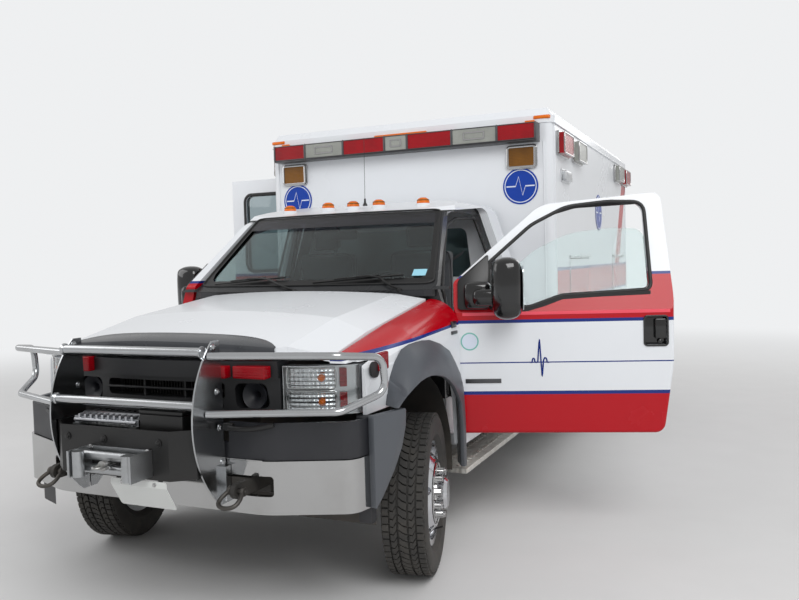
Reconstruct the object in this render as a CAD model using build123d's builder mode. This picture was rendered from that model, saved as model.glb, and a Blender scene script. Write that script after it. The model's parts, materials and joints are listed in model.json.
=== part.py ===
from build123d import *
from math import atan2, cos, degrees, hypot, radians, sin
import os

os.makedirs("parts", exist_ok=True)

# A light-duty ambulance: a chassis cab with a square patient module behind it, a stainless
# push guard and a winch in front. Millimetres, +Z up, the front faces -Y and the
# vehicle's left is +X. The origin is on the ground at the middle of the overall box.
# Every y below is counted back from the front axle, and the plane helpers shift it.

# Chassis
front = -2400
wheelbase = 4191
rail_out = 432
rail_in = 362
rail_z = (560, 760)
rail_y = (-690, 5700)
channel = 8
tow_x = 520
tow_bore = 14

# Wheels and tyres
tyre_r = 409
tyre_half = 113
bead_r = 248
front_track = 943
kingpin_x = 830
dual_x = (810, 1070)
hub_x = 940
spindle_r = 35
axle_tube_r = 45
spin_gap = 0.5
lug_circle = 112.5
lugs = 10
steer_at_rest = 13
flare_lip = 1106
arch = [(-505, 420), (-500, 1045), (440, 1045), (465, 420)]
arch_radii = [0, 170, 330, 0]

# Cab
cab_half = 1000
cab_y = (590, 2050)
cab_z = (530, 780)
floor_top = 815
belt_z = 1300
rail_edge = (772, 1990)
roof_z = 2050
cab_wall = 70
shield_z = 1440
shield_y = 573
shield_bulge = 110
shield_x = 855
shield_run = 1.166
shield_low = (835, 1478)
shield_high = (700, 1932)
pillar_proud = 22

# Cab doors, closed; the left one is stored open
hinge = (980, 600)
door_open = 72.5
nose = 20
gap = 7
door_in = 910
door_outline = [(580, 600), (580, 1478), (1098, 1920), (1785, 1972), (1813, 1400), (1813, 1000), (1755, 600)]
door_radii = [20, 30, 220, 50, 900, 900, 60]
window_outline = [
    (792, 1322), (792, 1585), (1042, 1796), (1245, 1897), (1483, 1921),
    (1683, 1912), (1690, 1415), (1194, 1395), (1026, 1335),
]
window_radii = [30, 40, 300, 500, 500, 70, 40, 100, 100]
glass = 5
glass_drop = 150

# Hood and fenders
hood_half = 815
hood_y = (-812, 530)
hood_thick = 28
fender_thick = 22
lamp_x = (618, 934)
lamp_z = (932, 1156)

# Module
mod_y = (2100, 5800)
mod_half = 1211
mod_z = (470, 2600)
mod_wall = 50
mod_floor = (800, 850)
post = 60
roof_top = 2715
side_hinge = (-1219, 2740)
side_width = 870
side_door_z = (620, 2430)
rear_half = 757
rear_door_z = (860, 2430)
well_r = 500


def across(y):
    """Sketch plane across the vehicle, at a distance behind the front axle, facing forward."""
    return Plane(origin=(0, front + y, 0), x_dir=(1, 0, 0), z_dir=(0, -1, 0))


def side(x):
    """Sketch plane along the vehicle, facing left: its first axis runs to the rear."""
    return Plane(origin=(x, front, 0), x_dir=(0, 1, 0), z_dir=(1, 0, 0))


def level(z):
    """Plan sketch plane at a height."""
    return Plane((0, front, z))


def block(x, y, z, mode=Mode.ADD):
    """Box between two values on each axis, in the part that is open."""
    with Locations(((x[0] + x[1]) / 2, front + (y[0] + y[1]) / 2, (z[0] + z[1]) / 2)):
        Box(x[1] - x[0], y[1] - y[0], z[1] - z[0], mode=mode)


def rod(start, end, radius, mode=Mode.ADD):
    """Round bar between two points, in the part that is open."""
    (ax, ay, az), (bx, by, bz) = start, end
    run = Vector(bx - ax, by - ay, bz - az)
    with BuildSketch(Plane(origin=(ax, front + ay, az), z_dir=run)) as disc:
        Circle(radius)
    extrude(disc.sketch, amount=run.length, mode=mode)


def rounded(points, radii):
    """Closed face with its own radius at each corner, in the sketch that is open."""
    with BuildLine() as line:
        FilletPolyline(*points, radius=radii, close=True)
    make_face(line.edges())


def polygon(points):
    """Closed face with straight sides, in the sketch that is open."""
    with BuildLine() as line:
        Polyline(*points, close=True)
    make_face(line.edges())


def lean_x(z, skin=cab_half):
    """Half width of the cab's skin at a height: upright to the belt, then leaning in."""
    slope = (cab_half - rail_edge[0]) / (rail_edge[1] - belt_z)
    return skin - max(0, z - belt_z) * slope


def save(part, name):
    """Labels a finished piece and writes it to its own file."""
    part.label = name
    export_step(part, f"parts/{name}.step")


def turned(part, at, angle):
    """The piece turned about an upright line, as a door on its hinge."""
    return part.rotate(Axis((at[0], front + at[1], 0), (0, 0, 1)), angle)


# Frame rails and cross members
with BuildPart() as frame_rails:
    for flip in (1, -1):
        with BuildSketch(across(rail_y[1])):
            outline = [
                (rail_in, rail_z[0]), (rail_out, rail_z[0]), (rail_out, rail_z[1]), (rail_in, rail_z[1]),
                (rail_in, rail_z[1] - channel), (rail_out - channel, rail_z[1] - channel),
                (rail_out - channel, rail_z[0] + channel), (rail_in, rail_z[0] + channel),
            ]
            polygon([(flip * x, z) for x, z in outline])
        extrude(amount=rail_y[1] - rail_y[0])
    # Cross members: y and height range
    for y, z in [(-600, (580, 700)), (1150, (662, 752)), (2250, (604, 752)), (3350, (568, 752)),
                 (4780, (568, 752)), (5620, (568, 752))]:
        block((-rail_out + channel, rail_out - channel), (y - 35, y + 35), z)
    # Tow eyes through the front bumper
    for flip in (1, -1):
        middle = flip * tow_x
        block(sorted((flip * rail_out, flip * (tow_x - 12))), (-862, -600), (612, 678))
        block((middle - 12, middle + 12), (-945, -800), (612, 678))
        rod((middle - 12, -950, 645), (middle + 12, -950, 645), 33)
        rod((middle - 30, -950, 645), (middle + 30, -950, 645), tow_bore, mode=Mode.SUBTRACT)
save(frame_rails.part, "frame_rails")

# Front axle beam with its leaf springs and shackles
with BuildPart() as front_axle:
    with BuildSketch(across(45)):
        polygon([(-795, 452), (-700, 452), (-560, 400), (560, 400), (700, 452), (795, 452),
                 (795, 366), (690, 366), (560, 320), (-560, 320), (-690, 366), (-795, 366)])
    extrude(amount=90)
    for flip in (1, -1):
        with Locations((flip * kingpin_x, front, tyre_r)):
            Cylinder(42, 110)
        block((flip * 397 - 38, flip * 397 + 38), (-60, 60), (395, 420))
        with BuildSketch(side(flip * 397 - 36)):
            with BuildLine():
                top = ThreePointArc((-560, 560), (0, 462), (560, 560))
                low = ThreePointArc((560, 524), (0, 412), (-560, 524))
                Line(top @ 1, low @ 0)
                Line(low @ 1, top @ 0)
            make_face()
        extrude(amount=72)
    for flip in (1, -1):
        with Locations((flip * kingpin_x, front, tyre_r)):
            Cylinder(17, 120, mode=Mode.SUBTRACT)
save(front_axle.part, "front_axle")

# Rear axle: tubes with a differential bowl, and a leaf spring on each side with its hangers
spring_x = 500
with BuildPart() as rear_axle:
    rod((-1000, wheelbase, tyre_r), (1000, wheelbase, tyre_r), axle_tube_r)
    rod((-690, wheelbase, tyre_r), (690, wheelbase, tyre_r), 62)
    with Locations((0, front + wheelbase, tyre_r)):
        Cylinder(185, 210, rotation=(0, 90, 0))
    for flip in (1, -1):
        block((flip * spring_x - 45, flip * spring_x + 45), (wheelbase - 70, wheelbase + 70), (430, 484))
    for flip in (1, -1):
        with BuildSketch(side(flip * spring_x - 38)):
            polygon([(wheelbase - 660, 690), (wheelbase - 100, 560), (wheelbase + 100, 560), (wheelbase + 660, 690),
                     (wheelbase + 660, 640), (wheelbase + 100, 487), (wheelbase - 100, 487),
                     (wheelbase - 660, 640)])
        extrude(amount=76)
        for y in (wheelbase - 660, wheelbase + 660):
            block(sorted((flip * (rail_out + 1), flip * (spring_x + 38))), (y - 40, y + 40), (640, 720))
save(rear_axle.part, "rear_axle")

# Engine, as one plain block
with BuildPart() as engine_block:
    block((-300, 300), (-430, 380), (600, 1150))
    chamfer(engine_block.edges().filter_by(Axis.Y), 60)
save(engine_block.part, "engine_block")

# Gearbox, propeller shaft, exhaust and fuel tank
with BuildPart() as driveline:
    block((-150, 150), (390, 1000), (500, 770))
    rod((0, 995, 600), (0, wheelbase - 192, 450), 48)
    rod((-560, 700, 520), (-560, 2150, 520), 36)
    rod((-560, 2150, 520), (-560, 2900, 520), 100)
    rod((-560, 2900, 520), (-560, 3560, 520), 36)
    block((440, 740), (2350, 3450), (430, 740))
save(driveline.part, "driveline")

# Steering knuckles, with the king pin, the spindle and the steering arm
def knuckle(flip):
    """Knuckle pointing straight ahead, with its king pin line at x = 0 and the spindle outboard."""
    with BuildPart() as made:
        for low, high in ((60, 118), (-118, -60)):
            with Locations((0, 0, (low + high) / 2)):
                Cylinder(42, high - low)
            with Locations((flip * 30, 0, (low + high) / 2)):
                Box(60, 84, high - low)
        Cylinder(16, 230)
        with Locations((flip * 59, 0, 0)):
            Box(24, 120, 236)
        with BuildSketch(Plane(origin=(flip * 60, 0, 0), z_dir=(flip, 0, 0))):
            Circle(spindle_r)
        extrude(amount=104)
        with Locations((flip * 48, 100, -92)):
            Box(30, 140, 34)
    return made.part


def wheel_line(flip, steer):
    """Place and direction of a front wheel's outboard axis at a steering angle."""
    reach = front_track - kingpin_x
    a = radians(steer)
    centre = (flip * (kingpin_x + reach * cos(a)), front + flip * reach * sin(a), tyre_r)
    return Plane(origin=centre, x_dir=(0, 0, 1), z_dir=(flip * cos(a), flip * sin(a), 0))


for name, flip in (("left_knuckle", 1), ("right_knuckle", -1)):
    with BuildPart() as placed:
        with Locations(Location((flip * kingpin_x, front, tyre_r), (0, 0, steer_at_rest))):
            add(knuckle(flip))
    save(placed.part, name)


# Tyres: a plain shouldered section turned about its own axle. Radius, then distance across the tread
def tyre_section():
    """Half-plane section of a tyre in the open sketch, with straight flanks and shoulders."""
    half = [(bead_r, 75), (268, 75), (292, 104), (350, tyre_half), (398, 102), (tyre_r, 82)]
    polygon(half + [(radius, -x) for radius, x in reversed(half)])


with BuildPart() as tyre:
    with BuildSketch(Plane.XZ):
        tyre_section()
    revolve(axis=Axis.Z)

for name, flip in (("front_left_tyre", 1), ("front_right_tyre", -1)):
    with BuildPart() as placed:
        with Locations(wheel_line(flip, steer_at_rest).location):
            add(tyre.part)
    save(placed.part, name)


def rear_plane(flip, x):
    """Plane at a rear wheel's middle, facing outboard."""
    return Plane(origin=(flip * x, front + wheelbase, tyre_r), x_dir=(0, 0, 1), z_dir=(flip, 0, 0))


for name, flip in (("rear_left_tyres", 1), ("rear_right_tyres", -1)):
    with BuildPart() as placed:
        with Locations(*[rear_plane(flip, x).location for x in dual_x]):
            add(tyre.part)
    save(placed.part, name)


# Wheels: a rim with its dished disc, hand holes, hub, hub cover and lug covers
def rim(face):
    """Rim and disc section turned about z. The disc's bolting face stands at z = face."""
    s = 1 if face > 0 else -1
    with BuildSketch(Plane.XZ) as section:
        polygon([(236, -86), (264, -86), (264, -78), (247, -76), (243, -50), (243, 50), (247, 76),
                 (264, 78), (264, 86), (236, 86), (228, 40), (228, -40)])
        polygon([(229, s * 22), (222, s * 60), (170, face), (62, face), (62, face - s * 12),
                 (164, face - s * 12), (212, s * 46), (220, s * 8), (229, s * 8)])
    revolve(section.sketch, axis=Axis.Z)
    with PolarLocations(193, 5):
        Cylinder(21, 400, mode=Mode.SUBTRACT)


with BuildPart() as front_wheel:
    rim(105)
    with BuildSketch(Plane.XZ):
        bore = spindle_r + spin_gap
        polygon([(bore, -38), (180, -38), (180, -14), (92, -14), (92, 93), (62, 93), (62, 105), (80, 105),
                 (80, 150), (66, 166), (0, 170), (0, 62), (bore, 62)])
    revolve(axis=Axis.Z)
    with PolarLocations(lug_circle, lugs):
        with Locations((0, 0, 125)):
            Cylinder(17, 42)

for name, flip in (("front_left_wheel", 1), ("front_right_wheel", -1)):
    with BuildPart() as placed:
        with Locations(wheel_line(flip, steer_at_rest).location):
            add(front_wheel.part)
    save(placed.part, name)

with BuildPart() as rear_wheel:
    inner_face = hub_x - dual_x[0]
    outer_face = hub_x - dual_x[1]
    rim(inner_face)
    spread = dual_x[1] - dual_x[0]
    axle_bore = axle_tube_r + spin_gap
    with BuildSketch(Plane.XZ):
        polygon([(236, spread - 86), (264, spread - 86), (264, spread - 78), (247, spread - 76),
                 (243, spread - 50), (243, spread + 50), (247, spread + 76), (264, spread + 78),
                 (264, spread + 86), (236, spread + 86), (228, spread + 40), (228, spread - 40)])
        low = spread + outer_face
        polygon([(229, spread - 22), (222, spread - 60), (170, low), (62, low), (62, low + 12),
                 (164, low + 12), (212, spread - 46), (220, spread - 8), (229, spread - 8)])
        polygon([(axle_bore, 40), (92, 40), (92, low - 12), (92, low + 12), (86, low + 120), (70, low + 138),
                 (0, low + 142), (0, low + 76), (axle_bore, low + 76)])
    revolve(axis=Axis.Z)
    with PolarLocations(193, 5):
        Cylinder(21, 900, mode=Mode.SUBTRACT)
    with PolarLocations(lug_circle, lugs):
        with Locations((0, 0, low + 26)):
            Cylinder(17, 32)

for name, flip in (("rear_left_wheels", 1), ("rear_right_wheels", -1)):
    with BuildPart() as placed:
        with Locations(rear_plane(flip, dual_x[0]).location):
            add(rear_wheel.part)
    save(placed.part, name)


# Cab shell
def cab_section(skin, low, edge_in, top_in):
    """Section across the cab in the open sketch: upright sides, leaning glass line, low crown."""
    x, z = rail_edge
    flat = 560
    half = [(skin, low), (skin, belt_z), (x - edge_in, z - top_in), (flat, z + 45 - top_in)]
    radii = [0, 60, 110 - min(60, edge_in), 1000]
    points = half + [(-px, pz) for px, pz in reversed(half)]
    rounded(points, radii + list(reversed(radii)))


def shield_plan(back_off, reach, rear_end, proud):
    """Plan of the cab at the windshield's foot: a bowed front between the pillars."""
    y = shield_y + back_off
    with BuildLine() as line:
        bow = ThreePointArc((-shield_x, y), (0, y - shield_bulge), (shield_x, y))
        Polyline(bow @ 1, (shield_x + 8, y - proud), (reach, y - proud), (reach, rear_end),
                 (-reach, rear_end), (-reach, y - proud), (-shield_x - 8, y - proud), bow @ 0)
    make_face(line.edges())


rake = Vector(0, shield_run, 1)


def greenhouse(skin, off, edge_in, top_in, rear_y, low):
    """Upper cab solid: raked plan, section and long roof curve, each cutting the last."""
    with BuildSketch(level(low)) as plan:
        shield_plan(off + (low - shield_z) * shield_run, 1010, 3200, pillar_proud)
    extrude(plan.sketch, amount=(roof_z + 20 - low) * rake.length, dir=rake)
    with BuildSketch(across(rear_y)) as section:
        cab_section(skin, 500, edge_in, top_in)
    extrude(section.sketch, amount=rear_y - 200, mode=Mode.INTERSECT)
    with BuildSketch(side(-1010)) as profile:
        with BuildLine():
            roof = ThreePointArc((1060, 1938 - top_in), (1440, 2018 - top_in), (2050, roof_z - top_in))
            Polyline(roof @ 1, (2050, 400), (200, 400), (200, 1938 - top_in), roof @ 0)
        make_face()
    extrude(profile.sketch, amount=2020, mode=Mode.INTERSECT)


with BuildPart() as cab_room:
    greenhouse(cab_half - cab_wall, 75, 42, 55, cab_y[1] - 50, shield_z)
    block((-cab_half + cab_wall, cab_half - cab_wall), (cab_y[0] + 40, cab_y[1] - 50), (floor_top, belt_z))
    with BuildSketch(across(cab_y[1] - 50)):
        polygon([(-930, belt_z), (930, belt_z), (lean_x(shield_z, 930), shield_z),
                 (-lean_x(shield_z, 930), shield_z)])
    extrude(amount=cab_y[1] - 50 - cab_y[0] - 40)

def door_hole(flip):
    """What is cut from the cab's side for a door: its outline with a gap, no deeper than the frame."""
    with BuildPart() as made:
        with BuildSketch(side(0)):
            (y0, z0), (y1, z1), (y2, z2), (y3, z3), rear, (y5, z5), (y6, z6) = door_outline
            back = rear[0] + 2 * gap
            rounded([(y0 - gap, z0 - gap), (y1 - gap, z1 + gap / 2), (y2 - gap, z2 + gap), (back - 6, z3 + gap + 2),
                     (back, z5), (y6 + 2 * gap, z6 - gap)], [20, 30, 220, 50, 900, 60])
        extrude(amount=flip * 1100)
        z = 2100
        with BuildSketch(across(2200)):
            polygon([(flip * 1050, 500), (flip * 1050, belt_z), (flip * (lean_x(z) + 50), z),
                     (flip * (lean_x(z) - 66), z), (flip * 896, belt_z + 40), (flip * 896, 500)])
        extrude(amount=2000, mode=Mode.INTERSECT)
    return made.part


with BuildPart() as cab_skin:
    greenhouse(cab_half, 0, 0, 0, cab_y[1], shield_z)

with BuildPart() as cab_shell:
    add(cab_skin.part)
    with BuildSketch(across(cab_y[1])):
        polygon([(-cab_half, cab_z[0]), (cab_half, cab_z[0]), (cab_half, belt_z),
                 (lean_x(shield_z), shield_z), (-lean_x(shield_z), shield_z), (-cab_half, belt_z)])
    extrude(amount=cab_y[1] - cab_y[0])
    # Foot of the windshield, above the engine bay
    with BuildSketch(level(shield_z - 40)):
        with BuildLine():
            bow = ThreePointArc((-shield_x, shield_y), (0, shield_y - shield_bulge), (shield_x, shield_y))
            Polyline(bow @ 1, (shield_x, 650), (-shield_x, 650), bow @ 0)
        make_face()
    extrude(amount=40)
    add(cab_room.part, mode=Mode.SUBTRACT)
    block((-880, 880), (cab_y[0] - 10, cab_y[1] + 10), (cab_z[0] - 10, cab_z[1]), mode=Mode.SUBTRACT)
    # Windshield and rear window
    with BuildSketch(across(1500)):
        (lx, lz), (hx, hz) = shield_low, shield_high
        rounded([(-lx, lz), (-hx, hz), (hx, hz), (lx, lz)], [45, 70, 70, 45])
    extrude(amount=1200, mode=Mode.SUBTRACT)
    with BuildSketch(across(cab_y[1] + 10)):
        rounded([(-600, 1480), (-560, 1850), (560, 1850), (600, 1480)], [50, 60, 60, 50])
    extrude(amount=100, mode=Mode.SUBTRACT)
    for flip in (1, -1):
        add(door_hole(flip), mode=Mode.SUBTRACT)
    for low, high in ((880, door_in - 8), (-door_in + 8, -880)):
        block((low, high), (cab_y[0], cab_y[1]), (cab_z[0], cab_z[1] + 20))
save(cab_shell.part, "cab_shell")

# Windshield and rear window panes
with BuildPart() as cab_glass:
    low = shield_z + 20
    with BuildSketch(level(low)):
        y = shield_y + (low - shield_z) * shield_run + 16
        with BuildLine():
            outer = ThreePointArc((-shield_x, y), (0, y - shield_bulge), (shield_x, y))
            inner = ThreePointArc((shield_x, y + 9), (0, y + 9 - shield_bulge), (-shield_x, y + 9))
            Line(outer @ 1, inner @ 0)
            Line(inner @ 1, outer @ 0)
        make_face()
    extrude(amount=520 * rake.length, dir=rake)
    with BuildSketch(across(1500)):
        (lx, lz), (hx, hz) = shield_low, shield_high
        rounded([(-lx + 1, lz + 1), (-hx + 1, hz - 1), (hx - 1, hz - 1), (lx - 1, lz + 1)], [45, 70, 70, 45])
    extrude(amount=1200, mode=Mode.INTERSECT)
    with BuildSketch(across(cab_y[1] - 20)):
        rounded([(-599, 1481), (-559, 1849), (559, 1849), (599, 1481)], [50, 60, 60, 50])
    extrude(amount=6)
save(cab_glass.part, "cab_glass")

# Cowl below the windshield
with BuildPart() as cowl_panel:
    with BuildSketch(level(1402)):
        with BuildLine():
            back = ThreePointArc((-840, shield_y - 4), (0, shield_y - shield_bulge - 4), (840, shield_y - 4))
            lead = ThreePointArc((800, 545), (0, 432), (-800, 545))
            Line(back @ 1, lead @ 0)
            Line(lead @ 1, back @ 0)
        make_face()
    extrude(amount=34)
save(cowl_panel.part, "cowl_panel")


# Cab doors
def door_skin(low, high):
    """Cab door body on one side, closed, between two x values of the same sign."""
    with BuildSketch(side(low)) as outline:
        rounded(door_outline, door_radii)
    extrude(outline.sketch, amount=high - low)
    flip = 1 if high > 0 else -1
    z = rail_edge[1]
    with BuildSketch(across(2000)) as section:
        polygon([(flip * cab_half, 550), (flip * cab_half, belt_z), (flip * lean_x(z), z),
                 (flip * (lean_x(z) - 48), z), (flip * door_in, belt_z + 40), (flip * door_in, 550)])
    extrude(section.sketch, amount=1600, mode=Mode.INTERSECT)


door_ends = {"left": (600, 1010), "right": (-1010, -600)}
for which, flip in (("left", 1), ("right", -1)):
    low, high = door_ends[which]
    with BuildPart() as door:
        door_skin(low, high)
        with BuildSketch(side(low)):
            rounded(window_outline, window_radii)
        extrude(amount=high - low, mode=Mode.SUBTRACT)
        # Slot in the belt that the pane drops into
        corner = door.edges().filter_by(Axis.Z).sort_by(Axis.Y)[0:4].sort_by(Axis.X)
        fillet(corner[-1] if flip > 0 else corner[0], nose - 1)
        # Recess of the outer handle
        block(sorted((flip * (cab_half - 28), flip * (cab_half + 5))), (1648, 1775), (1098, 1262),
              mode=Mode.SUBTRACT)
    with BuildPart() as pane:
        fall = glass_drop if flip > 0 else 0
        with BuildSketch(side(low)):
            rounded([(y, z - fall) for y, z in window_outline], window_radii)
            offset(amount=-1.5, mode=Mode.REPLACE)
        extrude(amount=high - low)
        with BuildSketch(side(low)):
            rounded(window_outline, window_radii)
            offset(amount=-1.5, mode=Mode.REPLACE)
        extrude(amount=high - low, mode=Mode.INTERSECT)
        with BuildSketch(across(2000)):
            mid = 26
            polygon([(flip * (lean_x(1300) - mid), 1300), (flip * (lean_x(1950) - mid), 1950),
                     (flip * (lean_x(1950) - mid - glass), 1950), (flip * (lean_x(1300) - mid - glass), 1300)])
        extrude(amount=1600, mode=Mode.INTERSECT)
    with BuildPart() as sail:
        with BuildSketch(side(0)):
            rounded([(604, 1318), (604, 1488), (786, 1640), (786, 1318)], [25, 25, 12, 12])
        extrude(amount=flip * 1100)
        with BuildSketch(across(1000)):
            polygon([(flip * (lean_x(1300) + 1), 1300), (flip * (lean_x(1700) + 1), 1700),
                     (flip * (lean_x(1700) + 26), 1700), (flip * (lean_x(1300) + 26), 1300)])
        extrude(amount=500, mode=Mode.INTERSECT)
    with BuildPart() as mirror:
        # Housing, then the sail on the window's front corner and the arm between them
        with BuildSketch(across(965)):
            rounded([(flip * 1068, 1284), (flip * 1052, 1580), (flip * 1215, 1598), (flip * 1232, 1302)],
                    [60, 50, 60, 60])
        extrude(amount=160)
        fillet(mirror.faces().sort_by(Axis.Y)[0].edges(), 30)
        add(sail.part)
        block(sorted((flip * 986, flip * 1080)), (700, 850), (1372, 1432))
    swing = -door_open if flip > 0 else 0
    save(turned(door.part, hinge, swing), f"{which}_door")
    save(turned(pane.part, hinge, swing), f"{which}_door_glass")
    save(turned(mirror.part, hinge, swing), f"{which}_mirror")


# Hood
def hood_section(edge, crease, middle):
    """Section across the hood in the open sketch: side fall, crease and crown."""
    with BuildLine() as line:
        crown = ThreePointArc((-640, crease), (0, middle), (640, crease))
        Polyline(crown @ 1, (hood_half, edge), (hood_half, edge - hood_thick), (640, crease - hood_thick))
        under = ThreePointArc((640, crease - hood_thick), (0, middle - hood_thick), (-640, crease - hood_thick))
        Polyline(under @ 1, (-hood_half, edge - hood_thick), (-hood_half, edge), crown @ 0)
    make_face(line.edges())


with BuildPart() as hood:
    # y, height at the edge, at the crease and at the middle
    for y, edge, crease, middle in [(hood_y[1], 1388, 1427, 1456), (-250, 1268, 1336, 1370), (-830, 1142, 1212, 1262)]:
        with BuildSketch(across(y)):
            hood_section(edge, crease, middle)
    loft(ruled=True)
    with BuildSketch(level(1000)):
        with BuildLine():
            nose_line = ThreePointArc((-610, -742), (0, -818), (610, -742))
            back = ThreePointArc((hood_half + 2, hood_y[1] - 4), (0, 418), (-hood_half - 2, hood_y[1] - 4))
            Polyline(nose_line @ 1, (640, -700), (hood_half + 2, -606), back @ 0)
            Polyline(back @ 1, (-hood_half - 2, -606), (-640, -700), nose_line @ 0)
        make_face()
    extrude(amount=600, mode=Mode.INTERSECT)
save(hood.part, "hood")


# Front fenders
def fender_section(flip, top, shoulder, side_x):
    """Thin fender section in the open sketch, from the hood's seam down past the wheel."""
    t = fender_thick
    seam = hood_half + 6
    bend = (seam + 0.62 * (side_x - seam), top - 0.3 * (top - shoulder))
    with BuildLine() as line:
        over = ThreePointArc((flip * seam, top), (flip * bend[0], bend[1]), (flip * (side_x - 6), shoulder))
        Polyline(over @ 1, (flip * side_x, shoulder - 80), (flip * side_x, 560), (flip * (side_x - t), 560),
                 (flip * (side_x - t), shoulder - 80), (flip * (side_x - 6 - t), shoulder))
        below = ThreePointArc((flip * (side_x - 6 - t), shoulder), (flip * (bend[0] - t / 2), bend[1] - t),
                              (flip * seam, top - t))
        Line(below @ 1, over @ 0)
    make_face(line.edges())


def fender(flip):
    """One front fender with its wheel arch and headlamp notch cut."""
    with BuildPart() as made:
        # y, height at the seam, shoulder height and half width
        for y, top, shoulder, side_x in [(573, 1384, 1262, 1000), (-60, 1290, 1200, 990), (-640, 1180, 1115, 955)]:
            with BuildSketch(across(y)):
                fender_section(flip, top, shoulder, side_x)
        loft(ruled=True)
        with BuildSketch(side(-1100)):
            rounded([(y + (40 if y > 0 else -40), z + 42) for y, z in arch], arch_radii)
        extrude(amount=2200, mode=Mode.SUBTRACT)
        block(sorted((flip * 600, flip * 941)), (-900, -440), (500, 1162), mode=Mode.SUBTRACT)
        block(sorted((flip * 900, flip * 1100)), (-900, -565), (500, 1300), mode=Mode.SUBTRACT)
        block(sorted((flip * 700, flip * 1100)), (-900, -500), (500, 925), mode=Mode.SUBTRACT)
    return made.part


with BuildPart() as front_fenders:
    add(fender(1))
    add(fender(-1))
save(front_fenders.part, "front_fenders")

# Wide dark flares over the front wheels, hollow behind
with BuildPart() as fender_flares:
    for flip in (1, -1):
        with BuildSketch(side(flip * 1001)) as root:
            rounded([(-590, 440), (-570, 1195), (540, 1195), (566, 440)], [0, 235, 310, 0])
        with BuildSketch(side(flip * flare_lip)) as lip:
            rounded([(-527, 440), (-522, 1067), (462, 1067), (487, 440)], [0, 190, 350, 0])
        loft(sections=[root.sketch, lip.sketch], ruled=True)
    for flip in (1, -1):
        with BuildSketch(side(flip * 1000)) as inner_root:
            rounded([(-568, 430), (-548, 1172), (518, 1172), (544, 430)], [0, 215, 290, 0])
        with BuildSketch(side(flip * (flare_lip - 16))) as inner_lip:
            rounded(arch, arch_radii)
        loft(sections=[inner_root.sketch, inner_lip.sketch], ruled=True, mode=Mode.SUBTRACT)
        with BuildSketch(side(flip * (flare_lip - 20))) as opening:
            rounded(arch, arch_radii)
        extrude(opening.sketch, amount=flip * 60, mode=Mode.SUBTRACT)
        with BuildSketch(level(400)) as plan:
            polygon([(flip * 1200, -700), (flip * 1046, -600), (flip * 1068, -500), (flip * flare_lip, -300),
                     (flip * flare_lip, 60), (flip * 1050, 570), (flip * 1050, 700), (flip * 1200, 700)])
        extrude(plan.sketch, amount=900, mode=Mode.SUBTRACT)
save(fender_flares.part, "fender_flares")

# Grille with its header, crossbars and lamp nostrils
with BuildPart() as grille:
    with BuildSketch(level(925)):
        with BuildLine():
            face = ThreePointArc((-612, -722), (0, -788), (612, -722))
            rear_face = ThreePointArc((612, -652), (0, -716), (-612, -652))
            Line(face @ 1, rear_face @ 0)
            Line(rear_face @ 1, face @ 0)
        make_face()
    extrude(amount=175)
    with BuildSketch(across(-600)):
        rounded([(-345, 1000), (-345, 1078), (345, 1078), (345, 1000)], 24)
        for flip in (1, -1):
            rounded([(flip * 400, 962), (flip * 392, 1076), (flip * 545, 1076), (flip * 566, 962)], 30)
        rounded([(-330, 944), (-340, 984), (340, 984), (330, 944)], 12)
    extrude(amount=300, mode=Mode.SUBTRACT)
    with BuildSketch(level(1100)):
        with BuildLine():
            face = ThreePointArc((-608, -736), (0, -812), (608, -736))
            rear_face = ThreePointArc((608, -640), (0, -700), (-608, -640))
            Line(face @ 1, rear_face @ 0)
            Line(rear_face @ 1, face @ 0)
        make_face()
    extrude(amount=78)
    for x in (-120, 120):
        block((x - 5, x + 5), (-770, -730), (944, 1078))
    block((-600, 600), (-640, -628), (925, 1150))
    for flip in (1, -1):
        ends = sorted((flip * 600, flip * 560))
        block(ends, (-700, -628), (925, 1100))
save(grille.part, "grille")

# Headlamp units
with BuildPart() as headlamps:
    for flip in (1, -1):
        with BuildSketch(level(lamp_z[0])):
            with BuildLine():
                lens = ThreePointArc((flip * lamp_x[0], -716), (flip * 800, -672), (flip * lamp_x[1], -570))
                Polyline(lens @ 1, (flip * lamp_x[1], -470), (flip * lamp_x[0], -560), lens @ 0)
            make_face()
        extrude(amount=lamp_z[1] - lamp_z[0])
save(headlamps.part, "headlamps")


# Bumper
def bumper_plan(grow, thick):
    """Bumper band in plan, in the open sketch: flat middle and ends that wrap back."""
    outer = [(990 + grow, -600), (968 + grow, -712 - grow), (600 + grow, -862 - grow)]
    inner = [(600, -862 + thick), (968 - thick, -712 + thick), (990 - thick, -600)]
    points = outer + [(-x, y) for x, y in reversed(outer)]
    back = [(-x, y) for x, y in reversed(inner)] + inner
    with BuildLine() as line:
        band = FilletPolyline(*points, radius=[90, 320, 320, 90])
        ring = FilletPolyline(*[(-x, y) for x, y in inner[::-1]], *inner, radius=[70, 300, 300, 70])
        Line(band @ 1, ring @ 0)
        Line(ring @ 1, band @ 0)
    make_face(line.edges())


with BuildPart() as bumper:
    with BuildSketch(level(520)):
        bumper_plan(0, 30)
    extrude(amount=235)
    for flip in (1, -1):
        with BuildSketch(across(-700)):
            rounded([(flip * 430, 600), (flip * 430, 690), (flip * 640, 690), (flip * 640, 600)], 16)
        extrude(amount=300, mode=Mode.SUBTRACT)
    for flip in (1, -1):
        block(sorted((flip * rail_in, flip * rail_out)), (-835, -690), (560, 745))
save(bumper.part, "bumper")

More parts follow.
